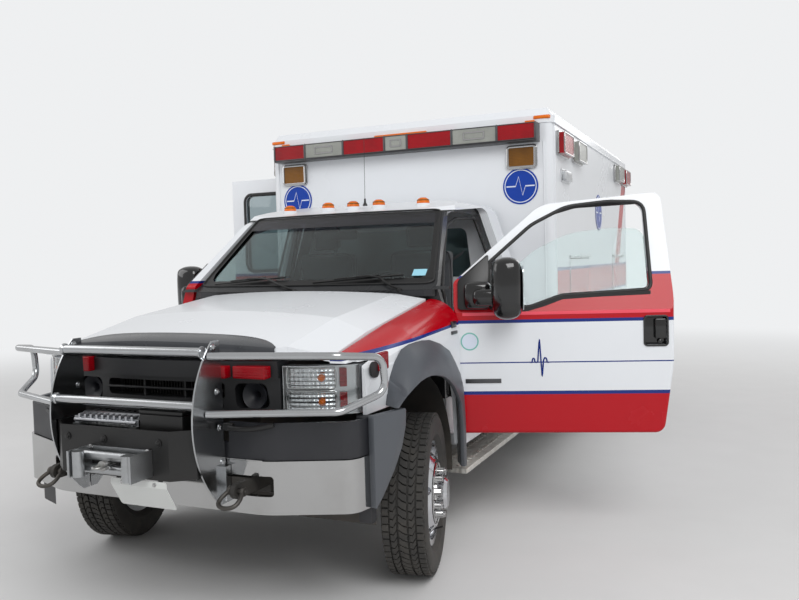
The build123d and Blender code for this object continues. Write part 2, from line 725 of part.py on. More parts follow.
# Dark cover above the bumper, its end pieces and the valance below
with BuildPart() as bumper_cover:
    with BuildSketch(level(757)):
        bumper_plan(-8, 26)
    extrude(amount=163)
    with BuildSketch(level(400)):
        bumper_plan(-34, 40)
    extrude(amount=118)
    for flip in (1, -1):
        with BuildSketch(side(flip * 955 - 30)):
            rounded([(-600, 440), (-600, 924), (-545, 924), (-545, 440)], 8)
        extrude(amount=60)
    block((-420, 420), (-900, -780), (830, 930), mode=Mode.SUBTRACT)
save(bumper_cover.part, "bumper_cover")

# Polished push guard: two curved upright plates, two cross tubes and a loop round each lamp
guard_x = 402
plate_thick = 8
tube_r = 21
with BuildPart() as guard:
    for flip in (1, -1):
        with BuildSketch(side(flip * guard_x - plate_thick / 2)):
            with BuildLine():
                nose_arc = ThreePointArc((-930, 1284), (-1078, 960), (-905, 560))
                Polyline(nose_arc @ 1, (-868, 560), (-868, 1000), (-880, 1284), nose_arc @ 0)
            make_face()
        extrude(amount=plate_thick)
        with BuildLine():
            loop = FilletPolyline(
                (flip * (guard_x + 3), front - 960, 1222), (flip * 940, front - 782, 1214),
                (flip * 1054, front - 585, 1190), (flip * 1058, front - 570, 1036),
                (flip * 940, front - 780, 975), (flip * (guard_x + 3), front - 985, 975), radius=60)
        with BuildSketch(Plane(origin=loop @ 0, z_dir=loop % 0)):
            Circle(17)
        sweep(path=loop)
    rod((-guard_x, -985, 1240), (guard_x, -985, 1240), tube_r)
    rod((-guard_x, -1040, 1018), (guard_x, -1040, 1018), tube_r)
    for flip in (1, -1):
        block(sorted((flip * (guard_x - 4), flip * (guard_x + 30))), (-900, -865), (580, 730))
save(guard.part, "guard")

# Number plate, blank, hung under the tray: upright at its holes, then bent back towards its foot
plate_x = 134
plate_half = 152
plate_hole = 89
plate_top, plate_bend, plate_foot = 704, 676, 569
with BuildPart() as number_plate:
    with BuildSketch(side(plate_x - plate_half)):
        polygon([(-1114, plate_top), (-1117, plate_top), (-1117, plate_bend), (-1055, plate_foot),
                 (-1052.4, plate_foot + 1.5), (-1114, plate_bend + 0.8)])
    extrude(amount=2 * plate_half)
    with BuildSketch(across(-1000)) as outline:
        with Locations((plate_x, (plate_top + plate_foot) / 2)):
            RectangleRounded(2 * plate_half, plate_top - plate_foot, 12)
    extrude(outline.sketch, amount=200, mode=Mode.INTERSECT)
    for x in (plate_x - plate_hole, plate_x + plate_hole):
        rod((x, -1130, plate_top - 14), (x, -1100, plate_top - 14), 3.5, mode=Mode.SUBTRACT)
save(number_plate.part, "number_plate")

# Winch tray: chamfered front plate and floor
with BuildPart() as winch_tray:
    with BuildSketch(level(708)):
        polygon([(-392, -900), (-392, -1044), (-302, -1112), (302, -1112), (392, -1044), (392, -900),
                 (384, -900), (384, -1040), (299, -1104), (-299, -1104), (-384, -1040), (-384, -900)])
    extrude(amount=212)
    block((-386, 386), (-1040, -880), (708, 716))
    for x in (plate_x - plate_hole - 26, plate_x + plate_hole + 26):
        with BuildSketch(side(x - 10)):
            polygon([(-1106, 712), (-1113, 702), (-1113, 677), (-1095, 646), (-1091, 648), (-1107, 676),
                     (-1104, 712)])
        extrude(amount=20)
save(winch_tray.part, "winch_tray")

# Winch: motor, drum, gear end and control box, with the roller fairlead in front
fairlead_low, fairlead_high = -136, 214
with BuildPart() as winch:
    rod((-250, -985, 830), (40, -985, 830), 62)
    for low, high in ((-290, -250), (40, 80)):
        block((low, high), (-1055, -915), (740, 915))
    block((-292, 82), (-1040, -930), (915, 945))
    block((90, 320), (-1040, -905), (800, 985))
    block((82, 96), (-1000, -960), (800, 860))
    for low, high in ((fairlead_low, fairlead_low + 12), (fairlead_high - 12, fairlead_high)):
        block((low, high), (-1243, -1113), (724, 838))
    for low in (724, 818):
        block((fairlead_low, fairlead_high), (-1121, -1113), (low, low + 20))
    for x in (fairlead_low + 39, fairlead_high - 39):
        rod((x, -1218, 726), (x, -1218, 836), 25)
    for z in (752, 810):
        rod((fairlead_low + 11, -1168, z), (fairlead_high - 11, -1168, z), 20)
save(winch.part, "winch")

# Seats: rigid bases and the cushions as plain soft solids
seat_x = 385
with BuildPart() as seat_bases:
    for flip in (1, -1):
        block((flip * seat_x - 210, flip * seat_x + 210), (1150, 1600), (floor_top, 1000))
        block((flip * seat_x - 190, flip * seat_x + 190), (1618, 1652), (990, 1640))
save(seat_bases.part, "seat_bases")

with BuildPart() as seat_cushions:
    for flip in (1, -1):
        block((flip * seat_x - 250, flip * seat_x + 250), (1120, 1600), (1001, 1140))
        block((flip * seat_x - 245, flip * seat_x + 245), (1482, 1616), (1150, 1690))
        block((flip * seat_x - 120, flip * seat_x + 120), (1500, 1600), (1700, 1860))
save(seat_cushions.part, "seat_cushions")

# Dashboard and steering wheel
with BuildPart() as dashboard:
    with BuildSketch(side(-815)):
        rounded([(635, 1010), (635, 1395), (740, 1425), (860, 1395), (900, 1290), (820, 1010)],
                [5, 5, 40, 50, 40, 20])
    extrude(amount=1630)
save(dashboard.part, "dashboard")

wheel_centre = Vector(380, front + 1010, 1370)
column_tilt = radians(28)
column = Vector(0, cos(column_tilt), sin(column_tilt))
with BuildPart() as steering_wheel:
    with BuildSketch(Plane(origin=wheel_centre + Vector(190, 0, 0), z_dir=column.cross(Vector(1, 0, 0)))):
        Circle(15)
    revolve(axis=Axis(wheel_centre, column))
    with BuildSketch(Plane(origin=wheel_centre - column * 22, x_dir=(1, 0, 0), z_dir=column)):
        Circle(62)
        Rectangle(364, 46)
    extrude(amount=30)
    with BuildSketch(Plane(origin=wheel_centre - column * 22, x_dir=(1, 0, 0), z_dir=column * -1)):
        Circle(28)
    extrude(amount=60)
save(steering_wheel.part, "steering_wheel")

locker_z = (640, 1590)
left_lockers = {"left_front_locker_door": (2640, 3460), "left_rear_locker_door": (4770, 5520)}
right_lockers = {"right_rear_locker_door": (4770, 5520)}
wall_gap = 6

# Module floor with its cross sills, and housings over the rear wheels
well_y = (wheelbase - well_r, wheelbase + well_r)
with BuildPart() as module_floor:
    block((-1150, 1150), (mod_y[0] + 61, mod_y[1] - 61), mod_floor)
    for flip, table in ((1, left_lockers), (-1, right_lockers)):
        for y0, y1 in table.values():
            block(sorted((flip * 756, flip * 1160)), (y0 - 24, y1 + 24), (700, 900), mode=Mode.SUBTRACT)
    for flip in (1, -1):
        block(sorted((flip * 660, flip * 1170)), well_y, (700, 900), mode=Mode.SUBTRACT)
    for y in (2300, 3050, 3600, 4740, 5600):
        block((-740, 740), (y - 30, y + 30), (762, 800))
    for flip in (1, -1):
        block(sorted((flip * 648, flip * 660)), well_y, (800, 950))
        block(sorted((flip * 648, flip * 1160)), (well_y[0] - 12, well_y[1] + 12), (950, 962))
        for y in (well_y[0] - 12, well_y[1]):
            block(sorted((flip * 648, flip * 1160)), (y, y + 12), (800, 950))
save(module_floor.part, "module_floor")

# Module side walls: left with two lockers, right with the entry and one locker


def side_wall(flip, openings):
    """Side wall with rectangular openings, each (y range, z range), and the wheel cut-out."""
    with BuildPart() as made:
        block(sorted((flip * (mod_half - mod_wall), flip * mod_half)), (mod_y[0] + post, mod_y[1] - post), mod_z)
        for y, z in openings:
            block(sorted((flip * 1100, flip * 1300)), y, z, mode=Mode.SUBTRACT)
        with BuildSketch(side(flip * 1180 - 60)):
            with Locations((wheelbase, tyre_r)):
                Circle(470)
            with Locations((wheelbase, 300)):
                Rectangle(940, 218 * 2)
        extrude(amount=120, mode=Mode.SUBTRACT)
    return made.part


entry = ((side_hinge[1] - wall_gap, side_hinge[1] + side_width + wall_gap),
         (side_door_z[0] - wall_gap, side_door_z[1] + wall_gap))
with BuildPart() as module_walls:
    for flip, table in ((1, left_lockers), (-1, right_lockers)):
        holes = [((y0 - wall_gap, y1 + wall_gap), (locker_z[0] - wall_gap, locker_z[1] + wall_gap))
                 for y0, y1 in table.values()]
        add(side_wall(flip, holes + ([entry] if flip < 0 else [])))
    # End walls: closed in front, framed for the two doors behind, and cut away over the rails
    block((-mod_half + post, mod_half - post), (mod_y[0], mod_y[0] + mod_wall), mod_z)
    block((-mod_half + post, mod_half - post), (mod_y[1] - mod_wall, mod_y[1]), mod_z)
    block((-rear_half - wall_gap, rear_half + wall_gap), (mod_y[1] - 100, mod_y[1] + 10),
          (rear_door_z[0] - wall_gap, rear_door_z[1] + wall_gap), mode=Mode.SUBTRACT)
    for y0, y1 in ((mod_y[0] - 10, mod_y[0] + 100), (mod_y[1] - 100, mod_y[1] + 10)):
        block((-690, 690), (y0, y1), (400, 790), mode=Mode.SUBTRACT)
save(module_walls.part, "module_walls")

# Rounded corner posts
with BuildPart() as module_posts:
    for fx in (1, -1):
        for y, fy in ((mod_y[0] + post, -1), (mod_y[1] - post, 1)):
            cx = fx * (mod_half - post)
            with BuildSketch(level(mod_z[0])):
                with BuildLine():
                    turn = ThreePointArc((cx + fx * post, y), (cx + fx * post * 0.7071, y + fy * post * 0.7071),
                                         (cx, y + fy * post))
                    Polyline(turn @ 1, (cx, y), turn @ 0)
                make_face()
            extrude(amount=mod_z[1] - mod_z[0])
save(module_posts.part, "module_posts")

# Roof with its grooved fascia and sloping edges
with BuildPart() as module_roof:
    with BuildSketch(level(mod_z[1])):
        with Locations((0, (mod_y[0] + mod_y[1]) / 2)):
            RectangleRounded(2 * mod_half + 16, mod_y[1] - mod_y[0] + 16, post + 8)
    extrude(amount=56)
    with BuildSketch(level(mod_z[1] + 56)):
        with Locations((0, (mod_y[0] + mod_y[1]) / 2)):
            RectangleRounded(2 * mod_half - 4, mod_y[1] - mod_y[0] - 4, post)
    extrude(amount=roof_top - mod_z[1] - 56, taper=38)
    block((-mod_half + 60, mod_half - 60), (mod_y[0] + 60, mod_y[1] - 60), (mod_z[1] - 1, mod_z[1] + 50),
          mode=Mode.SUBTRACT)
save(module_roof.part, "module_roof")

# Lockers behind the outside doors, as open boxes inside the walls, and the patient bench
with BuildPart() as cabinets:
    for flip, table in ((1, left_lockers), (-1, right_lockers)):
        for y0, y1 in table.values():
            x = sorted((flip * 760, flip * (mod_half - mod_wall - 1)))
            block(x, (y0 - 20, y1 + 20), (locker_z[0] - 20, locker_z[1] + 20))
            x = sorted((flip * 772, flip * (mod_half - mod_wall + 1)))
            block(x, (y0 - 8, y1 + 8), (locker_z[0] - 8, locker_z[1] + 8), mode=Mode.SUBTRACT)
    block((-1155, -650), (wheelbase - 530, wheelbase + 530), (965, 1170))
save(cabinets.part, "cabinets")

# Cushions of the bench, as plain soft solids
with BuildPart() as bench_cushions:
    block((-1150, -645), (wheelbase - 525, wheelbase + 525), (1171, 1250))
    block((-1155, -1085), (wheelbase - 525, wheelbase + 525), (1265, 1600))
save(bench_cushions.part, "bench_cushions")

# Lockers' outside doors
for flip, table in ((1, left_lockers), (-1, right_lockers)):
    for name, (y0, y1) in table.items():
        with BuildPart() as locker_door:
            block(sorted((flip * (mod_half - 42), flip * mod_half)), (y0, y1), locker_z)
            face_y = y1 - 150
            block(sorted((flip * (mod_half - 24), flip * (mod_half + 5))), (face_y, face_y + 110),
                  (1080, 1190), mode=Mode.SUBTRACT)
        save(locker_door.part, name)


# Module doors with a dark-framed window
def window_points(a0, a1, z0, z1):
    return [(a0, z0), (a0, z1), (a1, z1), (a1, z0)]


y0, y1 = side_hinge[1], side_hinge[1] + side_width
pane_y = (y0 + 300, y1 - 150)
pane_z = (1560, 2285)
with BuildPart() as side_door:
    block((-mod_half, -mod_half + mod_wall - 4), (y0, y1), side_door_z)
    with BuildSketch(side(-mod_half - 20)):
        rounded(window_points(*pane_y, *pane_z), 70)
    extrude(amount=120, mode=Mode.SUBTRACT)
with BuildPart() as side_door_glass:
    with BuildSketch(side(-mod_half + 14)):
        rounded(window_points(pane_y[0] + 1, pane_y[1] - 1, pane_z[0] + 1, pane_z[1] - 1), 70)
    extrude(amount=6)
hinge_line = (side_hinge[0], side_hinge[1] - 4)
save(turned(side_door.part, hinge_line, 90), "side_door")
save(turned(side_door_glass.part, hinge_line, 90), "side_door_glass")

for name, flip in (("rear_left", 1), ("rear_right", -1)):
    x = sorted((flip * 3, flip * rear_half))
    with BuildPart() as rear_door:
        block(x, (mod_y[1] - 46, mod_y[1]), rear_door_z)
        with BuildSketch(across(mod_y[1] + 20)):
            rounded(window_points(x[0] + 150, x[1] - 150, 1600, 2285), 70)
        extrude(amount=100, mode=Mode.SUBTRACT)
    save(rear_door.part, name + "_door")
    with BuildPart() as rear_glass:
        with BuildSketch(across(mod_y[1] - 14)):
            rounded(window_points(x[0] + 151, x[1] - 151, 1601, 2284), 70)
        extrude(amount=6)
    save(rear_glass.part, name + "_door_glass")

# Warning lamps, by the colour of their lenses
bar_y = (mod_y[0] - 112, mod_y[0] - 1)
bar_z = (2475, 2592)
bar_edges = [-1112, -820, -466, -97, 97, 466, 820, 1112]
# Colour, y, and the foot's height on the left and on the right
side_lamps = [("red", 2230, 2385, 2385), ("clear", 2780, 2385, 2437), ("clear", 4950, 2405, 2405),
              ("red", 5440, 2405, 2405)]
side_size = (330, 155, 62)
with BuildPart() as red_lamps:
    for i in (0, 2, 4, 6):
        block((bar_edges[i] + 4, bar_edges[i + 1] - 4), bar_y, bar_z)
    for colour, y, z_left, z_right in side_lamps:
        if colour == "red":
            for flip, z in ((1, z_left), (-1, z_right)):
                block(sorted((flip * (mod_half + 1), flip * (mod_half + side_size[2]))), (y, y + side_size[0]),
                      (z, z + side_size[1]))
    for flip in (1, -1):
        block(sorted((flip * 820, flip * 1000)), (mod_y[1] + 1, mod_y[1] + 60), (2440, 2590))
        block(sorted((flip * 860, flip * 1060)), (mod_y[1] + 1, mod_y[1] + 40), (1120, 1260))
save(red_lamps.part, "red_lamps")

with BuildPart() as clear_lamps:
    for i in (1, 3, 5):
        block((bar_edges[i] + 4, bar_edges[i + 1] - 4), bar_y, bar_z)
    for colour, y, z_left, z_right in side_lamps:
        if colour == "clear":
            for flip, z in ((1, z_left), (-1, z_right)):
                block(sorted((flip * (mod_half + 1), flip * (mod_half + side_size[2]))), (y, y + side_size[0]),
                      (z, z + side_size[1]))
save(clear_lamps.part, "clear_lamps")

with BuildPart() as amber_lamps:
    for flip in (1, -1):
        block((flip * 980 - 98, flip * 980 + 98), (mod_y[0] - 22, mod_y[0] - 1), (2290, 2430))
        block((flip * 980 - 98, flip * 980 + 98), (mod_y[1] + 1, mod_y[1] + 22), (2200, 2340))
    # Lamps on the cab roof: x, y and top
    for x, y, z in [(0, 1235, 2022), (-198, 1235, 2022), (198, 1235, 2022), (-521, 1250, 2018), (521, 1250, 2018)]:
        with Locations((x, front + y, z)):
            Cylinder(42, 60, align=(Align.CENTER, Align.CENTER, Align.MAX))
    add(cab_skin.part, mode=Mode.SUBTRACT)
save(amber_lamps.part, "amber_lamps")

# Running boards with brackets to the rails
with BuildPart() as running_boards:
    for flip in (1, -1):
        block(sorted((flip * 800, flip * 1042)), (522, 2050), (384, 410))
        for y in (800, 1700):
            block(sorted((flip * 700, flip * 820)), (y, y + 50), (350, 384))
            block(sorted((flip * rail_out, flip * 712)), (y, y + 50), (350, 420))
            block(sorted((flip * rail_out, flip * 470)), (y, y + 50), (420, 620))
save(running_boards.part, "running_boards")

# Rear step
with BuildPart() as rear_step:
    block((-1150, 1150), (mod_y[1] + 6, mod_y[1] + 246), (470, 500))
    block((-1150, 1150), (mod_y[1] + 234, mod_y[1] + 246), (420, 500))
    for flip in (1, -1):
        block(sorted((flip * rail_in, flip * rail_out)), (5700, mod_y[1] + 60), (500, 700))
save(rear_step.part, "rear_step")
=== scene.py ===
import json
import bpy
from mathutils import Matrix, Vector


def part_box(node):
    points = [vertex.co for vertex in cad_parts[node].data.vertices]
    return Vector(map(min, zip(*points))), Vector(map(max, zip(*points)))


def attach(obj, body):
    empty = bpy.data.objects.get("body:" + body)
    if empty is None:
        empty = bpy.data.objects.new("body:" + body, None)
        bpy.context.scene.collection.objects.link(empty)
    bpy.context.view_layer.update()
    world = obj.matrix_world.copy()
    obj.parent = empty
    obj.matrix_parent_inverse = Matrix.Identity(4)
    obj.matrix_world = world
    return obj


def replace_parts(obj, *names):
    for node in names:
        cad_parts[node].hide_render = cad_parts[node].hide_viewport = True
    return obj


bl_info = {
    "name": "Ambulance finish",
    "version": (1, 0, 0),
    "blender": (4, 5, 0),
    "location": "3D View > Sidebar > Ambulance",
    "description": "Trim, lamps, tyres, seats and materials for a chassis-cab ambulance",
    "category": "Add Mesh",
}

from math import atan2, cos, pi, radians, sin, tau

import bpy
from mathutils import Matrix, Vector

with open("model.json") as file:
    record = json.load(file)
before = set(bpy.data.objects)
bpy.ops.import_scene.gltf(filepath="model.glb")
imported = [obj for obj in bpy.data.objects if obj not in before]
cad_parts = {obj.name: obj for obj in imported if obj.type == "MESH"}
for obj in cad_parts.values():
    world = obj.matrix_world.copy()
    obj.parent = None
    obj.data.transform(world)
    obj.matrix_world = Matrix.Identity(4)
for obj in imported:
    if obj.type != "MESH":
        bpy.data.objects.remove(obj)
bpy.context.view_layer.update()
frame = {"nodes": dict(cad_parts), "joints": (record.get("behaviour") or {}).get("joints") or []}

WHEELBASE = 4.191
REAR_LOW, REAR_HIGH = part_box("rear_left_wheels")
FRONT = (REAR_LOW.y + REAR_HIGH.y) / 2 - WHEELBASE
RIGHT, BACK, UP = Vector((1, 0, 0)), Vector((0, 1, 0)), Vector((0, 0, 1))

# Hinge lines of the left cab door and the module's side door, across and back, and how far each stands open
DOOR_HINGE = (0.98, 0.6)
DOOR_OPEN = radians(-72.5)
SIDE_HINGE = (-1.219, 2.736)
SIDE_OPEN = radians(90)
# Cab's sides: half width, the height where they begin to lean in, and how much they lean
CAB_HALF, CAB_WAIST, CAB_LEAN = 1.0, 1.3, 0.3304


def at(x, y, z):
    """Point of the shared frame, with y counted back from the front axle."""
    return Vector((x, FRONT + y, z))


# Sizes and colours that a user would change

def linear(red, green, blue):
    """Shader colour from a 0 to 255 screen colour."""
    return (
        *[(v / 255 / 12.92) if v < 11 else ((v / 255 + 0.055) / 1.055) ** 2.4 for v in (red, green, blue)],
        1.0)


def colour_choice(label, text, *screen):
    """Colour property with its default given as a 0 to 255 screen colour."""
    return bpy.props.FloatVectorProperty(name=label, description=text, subtype="COLOR", size=4, min=0.0,
        max=1.0, default=linear(*screen))


def length_choice(label, text, value):
    """Length property in metres."""
    return bpy.props.FloatProperty(name=label, description=text, default=value, min=0.0005, unit="LENGTH")


class AmbulanceColours(bpy.types.PropertyGroup):
    """Colours of the paint and the main trim"""
    body: colour_choice("Body", "Main body paint", 226, 229, 233)
    stripe: colour_choice("Stripe", "Wide stripes and lower doors", 178, 0, 20)
    line: colour_choice("Line", "Thin lines beside the stripes", 20, 44, 122)
    emblem: colour_choice("Emblem", "Round emblems", 10, 60, 160)
    flare: colour_choice("Flares", "Wheel flares", 78, 82, 88)
    cover: colour_choice("Bumper cover", "Dark plastic in front", 27, 29, 35)
    pillar: colour_choice("Pillars", "Trim round the windshield", 42, 43, 45)
    cushion: colour_choice("Cushions", "Seat covers in the cab", 58, 60, 64)


class AmbulanceSizes(bpy.types.PropertyGroup):
    """Sizes of the added pieces"""
    tread_depth: length_choice("Tread depth", "Height of the tread blocks", 0.011)
    tread_count: bpy.props.IntProperty(name="Tread blocks", description="Blocks round each rib of a tyre",
        default=66, min=24, max=120)
    bolt: length_choice("Bolt radius", "Radius of the visible bolt heads", 0.011)
    seal: length_choice("Door seal", "Radius of the door and window seals", 0.011)
    bezel: length_choice("Lamp bezel", "Width of the bright rims round lamps", 0.012)
    whip: length_choice("Antenna", "Height of the whip antenna on the cab", 0.42)
    wiper: length_choice("Wiper blade", "Length of a wiper blade", 0.56)
    pressure: bpy.props.FloatProperty(name="Cushion pressure",
        description="Air pressure that swells the cushions", default=4.0, min=0.5, max=10.0)


def tint(name):
    """A chosen colour as a plain tuple."""
    return tuple(getattr(bpy.context.scene.ambulance_colours, name))


def size(name):
    """A chosen size."""
    return getattr(bpy.context.scene.ambulance_sizes, name)


# Modelling helpers

def start(name, spot):
    """Begin a mesh piece as a single vertex, and stay in edit mode."""
    bpy.ops.object.select_all(action="DESELECT")
    bpy.ops.mesh.primitive_plane_add(size=0.001, location=spot)
    piece = bpy.context.object
    piece.name = name
    bpy.ops.object.mode_set(mode="EDIT")
    bpy.ops.mesh.merge(type="CENTER")
    return piece


def extrude(step):
    """Extrude what is selected by a step."""
    bpy.ops.mesh.extrude_region_move(TRANSFORM_OT_translate={"value": step})


def trace(points):
    """Draw straight edges from the first point, where the selected vertex stands, to the last."""
    for here, there in zip(points, points[1:]):
        extrude(there - here)
    bpy.ops.mesh.select_all(action="SELECT")


def close_up(piece):
    """Merge doubles, turn all faces outwards and go back to object mode."""
    bpy.ops.mesh.select_all(action="SELECT")
    bpy.ops.mesh.remove_doubles(threshold=0.00002)
    bpy.ops.mesh.normals_make_consistent(inside=False)
    bpy.ops.object.mode_set(mode="OBJECT")
    return piece


def modify(piece, kind, **values):
    """Add a modifier with its values, and apply it."""
    modifier = piece.modifiers.new(kind.title(), kind)
    for key, value in values.items():
        setattr(modifier, key, value)
    bpy.context.view_layer.objects.active = piece
    bpy.ops.object.modifier_apply(modifier=modifier.name)


def settle(piece):
    """Put the piece's origin at the frame's origin, unturned and unscaled."""
    bpy.ops.object.select_all(action="DESELECT")
    piece.select_set(True)
    bpy.context.view_layer.objects.active = piece
    bpy.ops.object.transform_apply(location=True, rotation=True, scale=True)


def soften(piece, width, angle=40, segments=2):
    """Round the piece's sharp edges."""
    modify(piece, "BEVEL", width=width, segments=segments, limit_method="ANGLE", angle_limit=radians(angle),
        harden_normals=False)
    return piece


def plate(name, outline, step, corner=0.0, edge=0.0):
    """Flat piece: its outline traced and filled, its corners rounded, then given its thickness."""
    piece = start(name, outline[0])
    trace(outline)
    bpy.ops.mesh.edge_face_add()
    if corner:
        bpy.ops.mesh.bevel(affect="VERTICES", offset=corner, segments=5)
    extrude(step)
    close_up(piece)
    return soften(piece, edge) if edge else piece


def lathe(name, profile, centre, axis, steps=32, edge=0.0):
    """Turned piece: a profile of (radius, height) points spun about an axis through the centre."""
    axis = Vector(axis).normalized()
    out = axis.orthogonal().normalized()
    points = [centre + out * radius + axis * height for radius, height in profile]
    piece = start(name, points[0])
    trace(points)
    bpy.ops.mesh.spin(steps=steps, angle=tau, center=centre, axis=axis)
    close_up(piece)
    return soften(piece, edge) if edge else piece


def tube(name, points, radius, cyclic=False, order=3, sides=4):
    """Round bar along a smooth line, made a mesh."""
    bpy.ops.object.select_all(action="DESELECT")
    bpy.ops.object.add(type="CURVE")
    piece = bpy.context.object
    piece.name = name
    curve = piece.data
    curve.dimensions = "3D"
    curve.bevel_depth = radius
    curve.bevel_resolution = sides
    curve.use_fill_caps = True
    line = curve.splines.new("NURBS")
    line.points.add(len(points) - 1)
    for spot, point in zip(line.points, points):
        spot.co = (*point, 1)
    line.use_cyclic_u = cyclic
    line.use_endpoint_u = not cyclic
    line.order_u = order
    line.resolution_u = 8
    bpy.ops.object.convert(target="MESH")
    return piece


def block(name, first, last, edge):
    """Box between two opposite corners, its edges rounded."""
    bpy.ops.object.select_all(action="DESELECT")
    low, high = Vector([*map(min, first, last)]), Vector([*map(max, first, last)])
    bpy.ops.mesh.primitive_cube_add(size=1, location=(low + high) / 2, scale=high - low)
    piece = bpy.context.object
    piece.name = name
    settle(piece)
    return soften(piece, edge, segments=3)


def pillow(name, low, high, width):
    """Box with large soft roundings."""
    piece = block(name, low, high, width)
    modify(piece, "SUBSURF", levels=1, render_levels=1)
    return piece


def strip(name, line, other):
    """Band of faces between two lines with as many points."""
    piece = start(name, line[0])
    trace(line)
    bpy.ops.mesh.select_all(action="DESELECT")
    bpy.ops.mesh.primitive_plane_add(size=0.001, location=other[0])
    bpy.ops.mesh.merge(type="CENTER")
    trace(other)
    bpy.ops.mesh.bridge_edge_loops()
    bpy.ops.object.mode_set(mode="OBJECT")
    settle(piece)
    return piece


def shell(name, lines):
    """Closed long body: bands from each line to the next and back to the first, and a face at each end."""
    pieces = [strip("band", line, other) for line, other in zip(lines, lines[1:] + lines[:1])]
    for end in (0, -1):
        cap = start("cap", lines[0][end])
        trace([line[end] for line in lines])
        bpy.ops.mesh.edge_face_add()
        bpy.ops.object.mode_set(mode="OBJECT")
        settle(cap)
        pieces.append(cap)
    piece = joined(name, pieces)
    bpy.ops.object.mode_set(mode="EDIT")
    return close_up(piece)


def joined(name, pieces):
    """Make several pieces one."""
    bpy.ops.object.select_all(action="DESELECT")
    for piece in pieces:
        piece.select_set(True)
    bpy.context.view_layer.objects.active = pieces[0]
    if len(pieces) > 1:
        bpy.ops.object.join()
    pieces[0].name = name
    return pieces[0]


def copied(piece, places):
    """Copies of a piece in its stead, each with its own mesh, at places given as matrices."""
    settle(piece)
    made = []
    for place in places:
        twin = piece.copy()
        twin.data = piece.data.copy()
        bpy.context.collection.objects.link(twin)
        twin.matrix_world = place @ piece.matrix_world
        settle(twin)
        made.append(twin)
    bpy.data.objects.remove(piece)
    return made


def both_sides(piece):
    """Add the piece's mirror image on the vehicle's other side."""
    settle(piece)
    modify(piece, "MIRROR", use_axis=(True, False, False), use_mirror_merge=False)
    return piece


def turned(piece, hinge, angle):
    """Swing a piece about an upright line."""
    spot = at(hinge[0], hinge[1], 0)
    swing = Matrix.Translation(spot) @ Matrix.Rotation(angle, 4, "Z") @ Matrix.Translation(-spot)
    piece.matrix_world = swing @ piece.matrix_world
    settle(piece)
    return piece


def dress(piece, finish, slot=None, body="chassis", smooth=35):
    """Finish a piece: origin, smoothing, material and the body that it rides on. The slot is not used."""
    slot = slot or SLOTS.get(finish, finish)
    settle(piece)
    bpy.ops.object.shade_smooth_by_angle(angle=radians(smooth))
    piece.data.materials.clear()
    piece.data.materials.append(surface(finish))
    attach(piece, body)
    return piece


def dress_pair(name, pieces, finish, slot=None):
    """Join pieces, add their mirror image and finish the whole."""
    return dress(both_sides(joined(name, pieces)), finish, slot)


# Node helpers and shared groups

DUST = (0.36, 0.32, 0.27, 1)


def fill(tree, values, sockets):
    """Give sockets their values, or link them from other sockets."""
    for key, value in values:
        if isinstance(value, bpy.types.NodeSocket):
            tree.links.new(value, sockets[key])
        else:
            sockets[key].default_value = value


def add_node(tree, kind, inputs=None, **settings):
    """New node, its settings set, its inputs given as values or linked from sockets."""
    made = tree.nodes.new(kind)
    for key, value in settings.items():
        setattr(made, key, value)
    fill(tree, (inputs or {}).items(), made.inputs)
    return made


def math_node(tree, operation, first, second=0.0, clamp=False):
    """Output of a math node on two values or sockets."""
    return add_node(tree, "ShaderNodeMath", {0: first, 1: second}, operation=operation,
        use_clamp=clamp).outputs[0]


def mixed(tree, factor, first, second):
    """Output of a colour mix."""
    made = add_node(tree, "ShaderNodeMix", data_type="RGBA")
    fill(tree, (("Factor", factor), ("A", first), ("B", second)),
        {s.name: s for s in made.inputs if s.enabled})
    return [s for s in made.outputs if s.enabled][0]


def group(name, sockets):
    """Empty shader group with its sockets: (name, "in" or "out", socket kind, default)."""
    tree = bpy.data.node_groups.new(name, "ShaderNodeTree")
    for label, way, kind, default in sockets:
        socket = tree.interface.new_socket(name=label, in_out="INPUT" if way == "in" else "OUTPUT",
            socket_type="NodeSocket" + kind)
        if default is not None:
            socket.default_value = default
    return tree, tree.nodes.new("NodeGroupInput"), tree.nodes.new("NodeGroupOutput")


def build_band_group():
    """Mask of a flat band: 1 where the position along a direction lies between two values."""
    tree, given, result = group("band", [
        ("Vector", "in", "Vector", None), ("Direction", "in", "Vector", None), ("Low", "in", "Float", 0.0),
        ("High", "in", "Float", 1.0), ("Mask", "out", "Float", None)])
    along = add_node(tree, "ShaderNodeVectorMath",
        {0: given.outputs["Vector"], 1: given.outputs["Direction"]}, operation="DOT_PRODUCT").outputs["Value"]
    above = math_node(tree, "GREATER_THAN", along, given.outputs["Low"])
    below = math_node(tree, "LESS_THAN", along, given.outputs["High"])
    tree.links.new(math_node(tree, "MULTIPLY", above, below), result.inputs["Mask"])


def build_rib_group():
    """Height of even round ribs across a direction."""
    tree, given, result = group("ribs", [
        ("Vector", "in", "Vector", None), ("Direction", "in", "Vector", None), ("Pitch", "in", "Float", 0.01),
        ("Height", "out", "Float", None)])
    along = add_node(tree, "ShaderNodeVectorMath",
        {0: given.outputs["Vector"], 1: given.outputs["Direction"]}, operation="DOT_PRODUCT").outputs["Value"]
    turns = math_node(tree, "MULTIPLY", math_node(tree, "DIVIDE", along, given.outputs["Pitch"]), tau)
    wave = math_node(tree, "MULTIPLY", math_node(tree, "SINE", turns), 0.5)
    tree.links.new(math_node(tree, "ADD", wave, 0.5), result.inputs["Height"])


